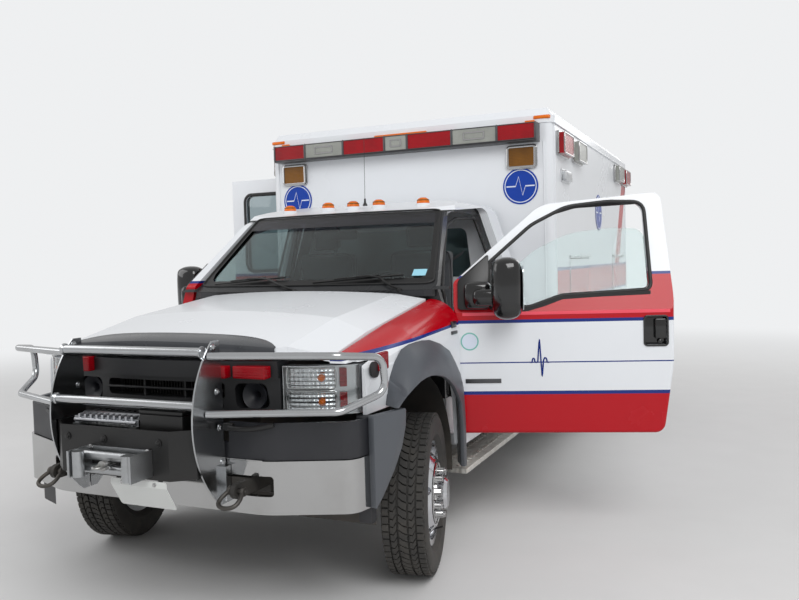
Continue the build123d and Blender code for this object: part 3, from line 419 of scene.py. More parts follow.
def build_worked_group():
    """Colour in two tones, roughness that varies, fine grain, and dust that gathers low down."""
    tree, given, result = group("worked_surface", [
        ("Vector", "in", "Vector", None), ("Color", "in", "Color", None), ("Second", "in", "Color", None),
        ("Patch Size", "in", "Float", 0.2), ("Share", "in", "Float", 0.3), ("Roughness", "in", "Float", 0.4),
        ("Spread", "in", "Float", 0.1), ("Grain", "in", "Float", 400.0), ("Dust", "in", "Float", 0.0),
        ("Color", "out", "Color", None), ("Roughness", "out", "Float", None),
        ("Height", "out", "Float", None)])
    place = given.outputs["Vector"]
    scale = math_node(tree, "DIVIDE", 1.0, given.outputs["Patch Size"])
    patches = add_node(tree, "ShaderNodeTexNoise",
        {"Vector": place, "Scale": scale, "Detail": 5.0, "Roughness": 0.6})
    fine = add_node(tree, "ShaderNodeTexNoise",
        {"Vector": place, "Scale": given.outputs["Grain"], "Detail": 3.0})
    patch = math_node(tree, "SUBTRACT", patches.outputs["Fac"], 0.45, clamp=True)
    patch = math_node(tree, "MULTIPLY", math_node(tree, "MULTIPLY", patch, 4.0, clamp=True),
        given.outputs["Share"])
    colour = mixed(tree, patch, given.outputs["Color"], given.outputs["Second"])
    height = add_node(tree, "ShaderNodeSeparateXYZ", {0: place}).outputs["Z"]
    low_down = math_node(tree, "SUBTRACT", 1.0, math_node(tree, "MULTIPLY", height, 0.9), clamp=True)
    dust = math_node(tree, "MULTIPLY", low_down,
        math_node(tree, "MULTIPLY", patches.outputs["Fac"], given.outputs["Dust"]), clamp=True)
    dusty = mixed(tree, dust, colour, DUST)
    swing = math_node(tree, "SUBTRACT", patches.outputs["Fac"], 0.5)
    rough = math_node(tree, "ADD", given.outputs["Roughness"],
        math_node(tree, "MULTIPLY", swing, given.outputs["Spread"]))
    rough = math_node(tree, "ADD", rough, math_node(tree, "MULTIPLY", dust, 0.5), clamp=True)
    tree.links.new(dusty, result.inputs["Color"])
    tree.links.new(rough, result.inputs["Roughness"])
    tree.links.new(fine.outputs["Fac"], result.inputs["Height"])


def group_node(tree, name, inputs):
    """A shared group placed in a material."""
    made = tree.nodes.new("ShaderNodeGroup")
    made.node_tree = bpy.data.node_groups[name]
    fill(tree, inputs.items(), made.inputs)
    return made


def empty_material(name, plain):
    """Material with its shader's plain sockets set: the material, its tree, shader and Object coordinates."""
    made = bpy.data.materials.new(name)
    made.use_nodes = True
    tree = made.node_tree
    shader = tree.nodes["Principled BSDF"]
    for key, value in plain.items():
        shader.inputs[key].default_value = value
    place = tree.nodes.new("ShaderNodeTexCoord").outputs["Object"]
    return made, tree, shader, place


def add_bump(tree, shader, height, strength, distance):
    """Feed a height to the shader's normal."""
    bump = add_node(tree, "ShaderNodeBump", {"Strength": strength, "Distance": distance, "Height": height})
    tree.links.new(bump.outputs["Normal"], shader.inputs["Normal"])


def worked(name, colour, second, rough=0.4, spread=0.2, patch=0.25, share=0.3, grain=400.0, dust=0.0,
        bump=0.1, depth=0.0005, bands=(), ribs=(), **plain):
    """Opaque material from the shared worked surface, with flat bands of other colours over its base.

    A band is (colour, [(direction, low, high), ...]) and shows where all its limits hold. A rib is
    (direction, pitch)."""
    made, tree, shader, place = empty_material(name,
        {k.replace("_", " ").title().replace("Ior", "IOR"): v for k, v in plain.items()})
    face = group_node(tree, "worked_surface", {
        "Vector": place, "Color": colour, "Second": second, "Patch Size": patch, "Share": share,
        "Roughness": rough, "Spread": spread, "Grain": grain, "Dust": dust})
    shown = face.outputs["Color"]
    for band_colour, limits in bands:
        mask = None
        for direction, low, high in limits:
            limit = group_node(tree, "band",
                {"Vector": place, "Direction": direction, "Low": low, "High": high})
            mask = math_node(tree, "MULTIPLY", mask, limit.outputs["Mask"]) if mask else limit.outputs["Mask"]
        shown = mixed(tree, mask, shown, band_colour)
    tree.links.new(shown, shader.inputs["Base Color"])
    tree.links.new(face.outputs["Roughness"], shader.inputs["Roughness"])
    height = face.outputs["Height"]
    for direction, pitch in ribs:
        rib = group_node(tree, "ribs", {"Vector": place, "Direction": direction, "Pitch": pitch})
        height = math_node(tree, "ADD", rib.outputs["Height"], math_node(tree, "MULTIPLY", height, 0.5))
    add_bump(tree, shader, height, bump, depth)
    return made


# Finishes: how each kind of surface is made, then a table of them all

def shade(colour):
    """Shader colour of a chosen colour's name or of a screen colour."""
    return tint(colour) if isinstance(colour, str) else linear(*colour)


def darker(colour, share):
    """The same colour a little darker."""
    return tuple(share * v for v in colour[:3]) + (1.0,)


def paint(name, colour="body", bands=()):
    """Gloss body paint with stripes."""
    colour = shade(colour)
    return worked(name, colour, darker(colour, 0.94), rough=0.26, spread=0.12, patch=0.8, share=0.35,
        grain=900.0, dust=0.02, bump=0.03, depth=0.0003, bands=bands, coat_weight=0.12, coat_roughness=0.06,
        specular_ior_level=0.3)


def metal(name, colour, second, rough, **more):
    """Bare or plated metal."""
    return worked(name, shade(colour), shade(second), rough=rough, metallic=1.0, **{"bump": 0.05, **more})


def plastic(name, colour, second, rough=0.5, **more):
    """Moulded or rubbery surface with a fine grain."""
    return worked(name, shade(colour), shade(second), rough=rough, **{"bump": 0.25, **more})


def lens(name, colour, second, pitch=0.011):
    """Moulded lamp lens with fine upright and level ribs, and a gloss coat."""
    return worked(name, shade(colour), shade(second), rough=0.2, spread=0.1, patch=0.3, share=0.5, bump=0.5,
        depth=0.0012, ribs=[((1, 1, 0), pitch), ((0, 0, 1), pitch)], specular_ior_level=0.35)


def glass(name, colour):
    """Lightly tinted glass, faintly smeared."""
    made, tree, shader, place = empty_material(name, {"Transmission Weight": 1.0, "IOR": 1.45})
    smear = add_node(tree, "ShaderNodeTexNoise",
        {"Vector": place, "Scale": 6.0, "Detail": 6.0}).outputs["Fac"]
    colour = shade(colour)
    tree.links.new(mixed(tree, smear, colour, darker(colour, 0.93)), shader.inputs["Base Color"])
    tree.links.new(math_node(tree, "MULTIPLY", smear, 0.05), shader.inputs["Roughness"])
    return made


FAR = 50.0


def level_bands(table, *limits):
    """Bands between two heights: colour name, low, high, each with the further limits."""
    return [(tint(name), [((0, 0, 1), low, high), *limits]) for name, low, high in table]


def door_paint(name):
    """White door with its red panels and thin lines."""
    return paint(name, bands=level_bands([
        ("stripe", 0.0, 0.826), ("line", 0.826, 0.846), ("line", 1.007, 1.014), ("line", 1.238, 1.257),
        ("stripe", 1.257, 1.497), ("line", 1.497, 1.513)]))


def fender_paint(name):
    """White fender, red above a sloping line."""
    slope = (0.0, -0.052, 1.0)
    edge = 1.19 + 0.052 * 0.45 - 0.052 * FRONT
    return paint(name, bands=[(tint("line"), [(slope, edge - 0.008, edge + 0.008)]),
        (tint("stripe"), [(slope, edge + 0.008, FAR)])])


def cab_paint(name):
    """White cab with dark windshield surround and a grey inside."""
    inside = CAB_HALF + CAB_LEAN * CAB_WAIST - 0.06
    return paint(name, bands=[
        (tint("pillar"), [((0, 1, -SHIELD_RUN), -FAR, FRONT - 1.076), ((0, 0, 1), 1.3, 1.932)]),
        *[(linear(52, 53, 55), [
            ((1, 0, CAB_LEAN), -FAR, inside), ((-1, 0, CAB_LEAN), -FAR, inside),
            ((0, 1, 0), FRONT + back, FRONT + 1.985), ((0, 0, 1), low, high),
            ((0, 1, -SHIELD_RUN), FRONT - 1.076, FAR)])
            for back, low, high in ((-1.0, 0.8, 1.9), (1.3, 1.9, 1.984))]])


def module_paint(name):
    """White module with a stripe along its sides and back and a slanted one up to the rear corner."""
    table = [("line", 1.265, 1.285), ("stripe", 1.285, 1.505), ("line", 1.505, 1.53)]
    slant = ((0, 1, -0.631), FRONT + 3.97, FRONT + 4.25)
    bands = []
    for limit in (((1, 0, 0), 1.19, FAR), ((-1, 0, 0), 1.19, FAR)):
        bands += level_bands(table, limit) + level_bands([("stripe", 1.53, 2.598)], limit, slant)
    return paint(name, bands=bands + level_bands(table, ((0, 1, 0), FRONT + 5.78, FAR)))


FINISHES = {
    "door_paint": (door_paint,),
    "fender_paint": (fender_paint,),
    "cab_paint": (cab_paint,),
    "module_paint": (module_paint,),
    "white_paint": (paint,),
    # Pink-red of the door crease strip: a painted highlight, the sky's reflection along the crease
    "crease_red": (paint, (236, 84, 100)),
    "line_blue": (paint, "line"),
    "emblem_blue": (paint, "emblem"),
    "roundel_green": (paint, (126, 190, 180)),
    "mark_white": (paint, (214, 222, 236)),
    "sticker_blue": (paint, (150, 206, 224)),
    "plate_paint": (paint, (214, 216, 214)),
    "laminate": (paint, (170, 176, 182)),
    "flare_plastic": (plastic, "flare", (66, 70, 76), dict(rough=0.42, dust=0.12, bump=0.2)),
    "cover_plastic": (plastic, "cover", (38, 40, 46), dict(rough=0.45, dust=0.1, bump=0.2)),
    "grille_plastic": (plastic, (20, 21, 24), (30, 31, 34), dict(dust=0.1)),
    "dark_plastic": (plastic, (18, 19, 20), (30, 31, 33), dict(rough=0.55)),
    "header_grey": (plastic, (64, 66, 70), (50, 52, 56), dict(rough=0.25, bump=0.05)),
    "gloss_black": (plastic, (5, 5, 6), (10, 10, 11), dict(rough=0.12, bump=0.02, coat_weight=0.5)),
    "edge_black": (plastic, (14, 14, 15), (22, 22, 23), dict(rough=0.35, bump=0.05)),
    "seal_rubber": (plastic, (24, 24, 25), (38, 38, 38), dict(rough=0.55, dust=0.15)),
    "dash_grey": (plastic, (92, 94, 96), (78, 80, 82), dict(rough=0.6)),
    "headlining": (plastic, (150, 150, 146), (138, 138, 134), dict(rough=0.85, bump=0.5)),
    "mat_rubber": (plastic, (36, 36, 37), (58, 54, 48),
        dict(rough=0.7, bump=0.5, depth=0.002, ribs=[((1, 0, 0), 0.018)])),
    "dial_dark": (plastic, (18, 20, 22), (60, 66, 72), dict(rough=0.2, patch=0.01, share=0.6)),
    "tray_black": (plastic, (10, 10, 11), (24, 24, 25), dict(rough=0.38, dust=0.06)),
    "frame_black": (plastic, (18, 18, 19), (48, 43, 38), dict(rough=0.6, share=0.5, dust=0.4)),
    "tyre_rubber": (plastic, (40, 40, 40), (58, 56, 53), dict(rough=0.75, share=0.6, dust=0.18, patch=0.08)),
    "cast_metal": (metal, (86, 84, 82), (104, 88, 74), dict(rough=0.55, share=0.5, dust=0.4, bump=0.4)),
    "cast_silver": (metal, (178, 180, 184), (120, 120, 122), dict(rough=0.3, patch=0.05, bump=0.3)),
    "cable_steel": (metal, (168, 168, 166), (110, 104, 96), dict(rough=0.35, patch=0.02, bump=0.3)),
    "bright_chrome": (metal, (182, 182, 182), (158, 156, 153),
        dict(rough=0.08, spread=0.1, dust=0.05, bump=0.02)),
    "polished_steel": (metal, (186, 188, 190), (156, 156, 156), dict(rough=0.2)),
    "winch_steel": (metal, (176, 178, 180), (140, 140, 138), dict(rough=0.35, bump=0.1, patch=0.05,
        bands=[(linear(20, 20, 21), [((1, 0, 0), 0.081, 0.33), ((0, 1, 0), FRONT - 1.06, FAR)])])),
    "arch_steel": (metal, (196, 198, 200), (168, 170, 172), dict(rough=0.28)),
    "bar_grey": (metal, (92, 92, 94), (70, 70, 72), dict(rough=0.35)),
    "wheel_metal": (metal, (216, 218, 222), (176, 174, 170),
        dict(rough=0.14, share=0.35, patch=0.06, bump=0.03, dust=0.12)),
    "mirror_bright": (metal, (214, 220, 224), (206, 212, 216), dict(rough=0.03, bump=0.0)),
    "lamp_silver": (metal, (206, 208, 210), (184, 186, 188), dict(rough=0.3)),
    "reflector_pattern": (metal, (216, 218, 220), (150, 152, 154), dict(rough=0.12, patch=0.02, share=0.7,
        bump=0.9, depth=0.003, ribs=[((1, 0.6, 0), 0.022), ((0, 0, 1), 0.019)])),
    "floor_metal": (plastic, (120, 122, 124), (90, 90, 90), dict(rough=0.45, dust=0.2)),
    "tread_plate": (plastic, (206, 204, 198), (168, 162, 152), dict(rough=0.4, metallic=0.4, share=0.6,
        patch=0.05, bump=0.8, depth=0.002, ribs=[((1, 1, 0), 0.034), ((1, -1, 0), 0.034)])),
    "interior_panel": (plastic, (196, 198, 196), (180, 182, 180), dict(rough=0.4, bump=0.1)),
    "seat_cloth": (plastic, "cushion", (72, 75, 80), dict(rough=0.8, bump=0.5, depth=0.001,
        ribs=[((1, 0.3, 0), 0.004), ((0, 1, 1), 0.004)], sheen_weight=0.3)),
    "seat_cover": (plastic, (58, 60, 64), (44, 45, 48), dict(rough=0.5, bump=0.4)),
    "seat_welt": (plastic, (34, 35, 38), (46, 47, 50), dict(rough=0.5)),
    "bench_vinyl": (plastic, (44, 62, 96), (36, 52, 84), dict(rough=0.4, bump=0.35)),
    "belt_webbing": (plastic, (40, 41, 44), (54, 55, 58),
        dict(rough=0.6, depth=0.001, ribs=[((0, 0.5, 1), 0.003)])),
    "red_lens": (lens, (150, 0, 16), (86, 0, 8)),
    "amber_lens": (lens, (226, 112, 18), (190, 84, 8), dict(pitch=0.008)),
    "amber_dark": (lens, (122, 78, 14), (72, 42, 6)),
    "clear_lens": (lens, (150, 152, 146), (112, 114, 110)),
    "lens_glass": (glass, (236, 238, 238)),
    "grey_glass": (glass, (196, 210, 210)),
    "dark_glass": (glass, (150, 164, 168)),
    "cab_tint": (glass, (168, 184, 184)),
    "shade_glass": (glass, (128, 126, 138)),
}


def surface(name):
    """The material of that name, built when it is first asked for."""
    made = bpy.data.materials.get(name + "_finish")
    if made is None:
        make, *values = FINISHES[name]
        more = values.pop() if values and isinstance(values[-1], dict) else {}
        made = make(name, *values, **more)
        made.name = name + "_finish"
    return made


# Record slots of the finishes whose slot has another name, and the finish of each carried-over solid
SLOTS = {finish: slot for slot, finishes in {
    "bright_chrome": "arch_steel bar_grey",
    "clear_glass": "mirror_bright shade_glass sticker_blue",
    "dark_plastic": "cover_plastic dial_dark edge_black flare_plastic gloss_black grille_plastic "
                    "header_grey mat_rubber seal_rubber tray_black",
    "interior_panel": "dash_grey headlining laminate",
    "lamp_amber": "amber_lens",
    "lamp_clear": "lamp_silver lens_glass",
    "lamp_red": "red_lens",
    "polished_steel": "cable_steel cast_silver",
    "seat_cover": "belt_webbing bench_vinyl seat_cloth seat_welt",
    "tyre": "tyre_rubber",
    "white_paint": "crease_red emblem_blue fender_paint line_blue mark_white roundel_green",
}.items() for finish in finishes.split()}

CAD_FINISHES = {
    "door_paint": ["left_door", "right_door"],
    "fender_paint": ["front_fenders"],
    "cab_paint": ["cab_shell"],
    "white_paint": ["hood", "module_posts", "module_roof"],
    "module_paint": [
        "module_walls", "left_front_locker_door", "left_rear_locker_door", "right_rear_locker_door",
        "side_door", "rear_left_door", "rear_right_door"],
    "flare_plastic": ["fender_flares"],
    "cover_plastic": ["bumper_cover", "cowl_panel"],
    "grille_plastic": ["grille"],
    "dark_plastic": ["steering_wheel", "seat_bases"],
    "dash_grey": ["dashboard"],
    "gloss_black": ["left_mirror", "right_mirror"],
    "frame_black": ["frame_rails", "front_axle", "rear_axle", "driveline"],
    "cast_metal": ["engine_block", "left_knuckle", "right_knuckle"],
    "bright_chrome": ["bumper"],
    "polished_steel": ["guard", "rear_step"],
    "winch_steel": ["winch"],
    "tray_black": ["winch_tray"],
    "plate_paint": ["number_plate"],
    "tyre_rubber": ["front_left_tyre", "front_right_tyre", "rear_left_tyres", "rear_right_tyres"],
    "wheel_metal": ["front_left_wheel", "front_right_wheel", "rear_left_wheels", "rear_right_wheels"],
    "interior_panel": ["cabinets"],
    "seat_cover": ["seat_cushions", "bench_cushions"],
    "floor_metal": ["module_floor"],
    "tread_plate": ["running_boards"],
    "red_lens": ["red_lamps"],
    "amber_dark": ["amber_lamps"],
    "clear_lens": ["clear_lamps", "headlamps"],
    "cab_tint": ["cab_glass"],
    "dark_glass": ["rear_left_door_glass", "rear_right_door_glass", "side_door_glass"],
    "grey_glass": ["left_door_glass", "right_door_glass"],
}


class AMBULANCE_OT_solids(bpy.types.Operator):
    """Give each carried-over solid its material"""
    bl_idname = "ambulance.solids"
    bl_label = "Finish the solids"

    def execute(self, context):
        for finish, nodes in CAD_FINISHES.items():
            for name in nodes:
                mesh = frame["nodes"][name].data
                mesh.materials.clear()
                mesh.materials.append(surface(finish))
        return {"FINISHED"}


# Pieces

def box_outline(centre, along, up, width, height):
    """Corners of a rectangle about a centre, given its two directions."""
    half, rise = Vector(along) * (width / 2), Vector(up) * (height / 2)
    centre = Vector(centre)
    return [centre - half - rise, centre + half - rise, centre + half + rise, centre - half + rise]


def bezel(name, outline, rim, step, corner=0.0, edge=0.0):
    """Flat frame: an outline filled, inset, opened and given its thickness."""
    piece = start(name, outline[0])
    trace(outline)
    bpy.ops.mesh.edge_face_add()
    if corner:
        bpy.ops.mesh.bevel(affect="VERTICES", offset=corner, segments=5)
    bpy.ops.mesh.inset(thickness=rim, depth=0.0)
    bpy.ops.mesh.delete(type="FACE")
    bpy.ops.mesh.select_all(action="SELECT")
    extrude(step)
    close_up(piece)
    return soften(piece, edge) if edge else piece


def square_rim(centre, along, width, height, rim, step, corner=0.0, edge=0.0):
    """Rectangular frame standing upright about a centre."""
    return bezel("rim", box_outline(centre, along, UP, width, height), rim, step, corner, edge)


def arch_line(x, y, z, reach, rise, first, sweep, count):
    """Points of an upright arch at one distance across, from a first angle on, in degrees."""
    angles = [radians(first + sweep * i / count) for i in range(count + 1)]
    return [at(x, y - reach * cos(angle), z + rise * sin(angle)) for angle in angles]


def wall(name, line, rise, thickness):
    """Thin wall: a line drawn and raised by one step, then given its thickness."""
    piece = start(name, line[0])
    trace(line)
    extrude(rise)
    close_up(piece)
    modify(piece, "SOLIDIFY", thickness=thickness, offset=0.0)
    return piece


def rod(name, first, last, radius, steps=16, edge=0.0):
    """Round bar with flat ends between two points."""
    run = last - first
    return lathe(name, [(0, 0), (radius, 0), (radius, run.length), (0, run.length)], first, run, steps, edge)


def bolt_head(name, spot, axis, radius=None):
    """Domed head on its washer."""
    r = radius or size("bolt")
    return lathe(name,
        [(0, 0), (1.5 * r, 0), (1.5 * r, 0.25 * r), (r, 0.3 * r), (0.85 * r, 0.75 * r), (0, r)], spot, axis,
        12)


def wheel_frame(body):
    """Matrix that carries a wheel drawn about the X axis at the origin to its place, facing outboard."""
    joint = [j for j in frame["joints"] if j["child"] == body][0]
    axis = Vector(joint["axis"])
    place = Matrix.Translation(Vector(joint["pos_m"])) @ Matrix.Rotation(atan2(axis.y, axis.x), 4, "Z")
    return place if joint["pos_m"][0] > 0 else place @ Matrix.Rotation(pi, 4, "Z")


# Wheel bodies: tyre node, how far inboard each of its tyres stands, and how far out the disc's face
WHEELS = {
    "front_left_wheel": ("front_left_tyre", [0.0], 0.105),
    "front_right_wheel": ("front_right_tyre", [0.0], 0.105),
    "rear_left_wheels": ("rear_left_tyres", [0.0, 0.26], 0.142),
    "rear_right_wheels": ("rear_right_tyres", [0.0, 0.26], 0.142),
}
TYRE_RADIUS = 0.409
# Half of a tyre's section: radius, distance from its middle plane
FLANK = [
    (0.25, 0.068), (0.256, 0.076), (0.266, 0.079), (0.274, 0.08), (0.281, 0.088), (0.296, 0.1),
    (0.299, 0.1035), (0.304, 0.1038), (0.33, 0.1115), (0.352, 0.113), (0.374, 0.11), (0.39, 0.1045)]
# Tread ribs: middle across the tyre, width, how far a block leans round the tyre
RIBS = [
    (-0.083, 0.03, 0.0), (-0.045, 0.03, 0.011), (0.0, 0.04, -0.011), (0.045, 0.03, 0.011), (0.083, 0.03, 0.0)]


def tread_block(across, width, lean, pitch, base, depth):
    """One tread block on top of the tyre, its outline laid flat and raised."""
    half, run = width / 2, 0.4 * pitch
    notch = 0.25 * pitch if lean else 0.0
    outline = [
        Vector((across - half, -run - lean, base)), Vector((across, -run - lean / 2 - notch, base)),
        Vector((across + half, -run + lean, base)), Vector((across + half, run + lean, base)),
        Vector((across, run - lean / 2 - notch, base)), Vector((across - half, run - lean, base))]
    return plate("block", outline, Vector((0, 0, depth)))


class AMBULANCE_OT_tyres(bpy.types.Operator):
    """Tyres with a ribbed flank, grooves and rows of tread blocks"""
    bl_idname = "ambulance.tyres"
    bl_label = "Tyres"

    def execute(self, context):
        depth, count = size("tread_depth"), size("tread_count")
        base = TYRE_RADIUS - depth
        half = FLANK + [(base - 0.003, 0.099), (base, 0.093)]
        profile = half + [(r, -x) for r, x in reversed(half)] + half[:1]
        carcass = lathe("carcass", profile, Vector((0, 0, 0)), RIGHT, 96)
        pitch = tau * TYRE_RADIUS / count
        blocks = joined("blocks", [tread_block(*rib, pitch, base - 0.002, depth + 0.0018) for rib in RIBS])
        bars = [block("bar", (x - 0.004, -0.17 * pitch, 0.383), (x + 0.004, 0.17 * pitch, base), 0.0015)
            for x in (-0.1005, 0.1005)]
        blocks = joined("blocks", [blocks] + bars)
        bpy.ops.object.mode_set(mode="EDIT")
        bpy.ops.mesh.select_all(action="SELECT")
        bpy.ops.mesh.spin(steps=count - 1, dupli=True, angle=tau * (count - 1) / count, center=(0, 0, 0),
            axis=RIGHT)
        bpy.ops.object.mode_set(mode="OBJECT")
        tyre = joined("tyre", [carcass, blocks])
        for body, (node, offsets, _) in WHEELS.items():
            twin = tyre.copy()
            twin.data = tyre.data.copy()
            context.collection.objects.link(twin)
            place = wheel_frame(body)
            piece = joined(node + "_tread",
                copied(twin, [place @ Matrix.Translation((x, 0, 0)) for x in offsets]))
            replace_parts(dress(piece, "tyre_rubber", body=body, smooth=30), node)
        bpy.data.objects.remove(tyre)
        return {"FINISHED"}


class AMBULANCE_OT_wheel_trim(bpy.types.Operator):
    """Lug nut covers, rings on disc and hub, and valve stems on each wheel"""
    bl_idname = "ambulance.wheel_trim"
    bl_label = "Wheel trim"

    def execute(self, context):
        for body, (_, _, face) in WHEELS.items():
            nut = lathe("nut", [
                (0, 0), (0.0235, 0), (0.0235, 0.003), (0.0195, 0.005), (0.0195, 0.036), (0.0165, 0.043),
                (0, 0.045)], Vector((face, 0, 0.1125)), RIGHT, 6)
            soften(nut, 0.0012)
            nuts = copied(nut, [Matrix.Rotation(tau * i / 10, 4, "X") for i in range(10)])
            centre = Vector((face + 0.002, 0, 0))
            ring = lathe("ring", [(0.146, 0), (0.152, 0.004), (0.158, 0), (0.152, -0.002), (0.146, 0)],
                centre, RIGHT, 48)
            foot = lathe("foot",
                [(0.078, 0), (0.092, 0), (0.09, 0.01), (0.083, 0.014), (0.078, 0.014), (0.078, 0)], centre,
                RIGHT, 48)
            place = wheel_frame(body)
            trim = joined("trim", nuts + [ring, foot])
            piece = copied(trim, [place])[0]
            piece.name = body + "_covers"
            dress(piece, "bright_chrome", "wheel_metal", body)
            stem = rod("stem", Vector((face - 0.02, 0.0, -0.193)), Vector((face + 0.028, 0.0, -0.178)), 0.005,
                10)
            stem = copied(stem, [place])[0]
            stem.name = body + "_valve"
            dress(stem, "dark_plastic", body=body)
        return {"FINISHED"}


LAMP_ARC = [(0.618, -0.716), (0.8, -0.672), (0.934, -0.57)]


def arc_y(points, x):
    """Distance back on the circle through three plan points, at a distance across."""
    (ax, ay), (bx, by), (cx, cy) = points
    d = 2 * (ax * (by - cy) + bx * (cy - ay) + cx * (ay - by))
    a2, b2, c2 = ax * ax + ay * ay, bx * bx + by * by, cx * cx + cy * cy
    ux = (a2 * (by - cy) + b2 * (cy - ay) + c2 * (ay - by)) / d
    uy = (a2 * (cx - bx) + b2 * (ax - cx) + c2 * (bx - ax)) / d
    radius = ((ax - ux) ** 2 + (ay - uy) ** 2) ** 0.5
    return uy - (radius ** 2 - (x - ux) ** 2) ** 0.5


def lamp_line(x0, x1, inset, z, count=10):
    """Line along the headlamp's front at a height, set back by an inset."""
    steps = [x0 + (x1 - x0) * i / count for i in range(count + 1)]
    return [at(x, arc_y(LAMP_ARC, x) + inset, z) for x in steps]


class AMBULANCE_OT_headlamps(bpy.types.Operator):
    """Headlamp units: lens, patterned reflectors, bulbs, side reflectors and housing"""
    bl_idname = "ambulance.headlamps"
    bl_label = "Headlamps"

    def execute(self, context):
        low, high = 0.934, 1.154
        # Low and high edge of each reflector unit
        units = [(1.053, 1.144), (0.946, 1.037)]
        cover = both_sides(
            wall("headlamp_lens", lamp_line(0.621, 0.932, 0.003, low, 14), UP * (high - low), 0.003))
        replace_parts(dress(cover, "lens_glass"), "headlamps")
        back = wall("back", lamp_line(0.622, 0.925, 0.04, low, 14), UP * (high - low), 0.004)
        caps = []
        for z in (low, high - 0.004):
            outer, inner = lamp_line(0.62, 0.932, 0.006, z), lamp_line(0.62, 0.932, 0.075, z)
            caps.append(plate("cap", outer + inner[::-1], UP * 0.004))
        ends = [plate("end", [at(x, arc_y(LAMP_ARC, x) + d, z)
            for d, z in ((0.004, low), (0.07, low), (0.07, high), (0.004, high))], RIGHT * 0.003)
            for x in (0.619, 0.929)]
        dress_pair("headlamp_housing", [back] + caps + ends, "lamp_silver")
        bowls, rims, reds, ambers = [], [], [], []
        for z0, z1 in units:
            bowls.append(wall("bowl", lamp_line(0.634, 0.838, 0.03, z0), UP * (z1 - z0), 0.003))
            loop = lamp_line(0.63, 0.842, 0.02, z0 - 0.002) + lamp_line(0.63, 0.842, 0.02, z1 + 0.002)[::-1]
            rims.append(tube("rim", loop, 0.0045, cyclic=True, sides=2))
            reds.append(
                wall("red", lamp_line(0.858, 0.884, 0.016, z0 + 0.004, 4), UP * (z1 - z0 - 0.008), 0.006))
            middle = at(0.785, arc_y(LAMP_ARC, 0.785) + 0.026, (z0 + z1) / 2)
            ambers.append(lathe("amber",
                [(0, -0.004), (0.014, 0), (0.017, 0.008), (0.012, 0.018), (0, 0.021)], middle,
                Vector((0.35, -1, 0)), 16))
        for name, pieces, finish in (("headlamp_bowls", bowls, "reflector_pattern"),
                ("headlamp_rims", rims, "bright_chrome"), ("headlamp_reflectors", reds, "red_lens"),
                ("headlamp_bulbs", ambers, "amber_lens")):
            dress_pair(name, pieces, finish, "lamp_clear")
        return {"FINISHED"}


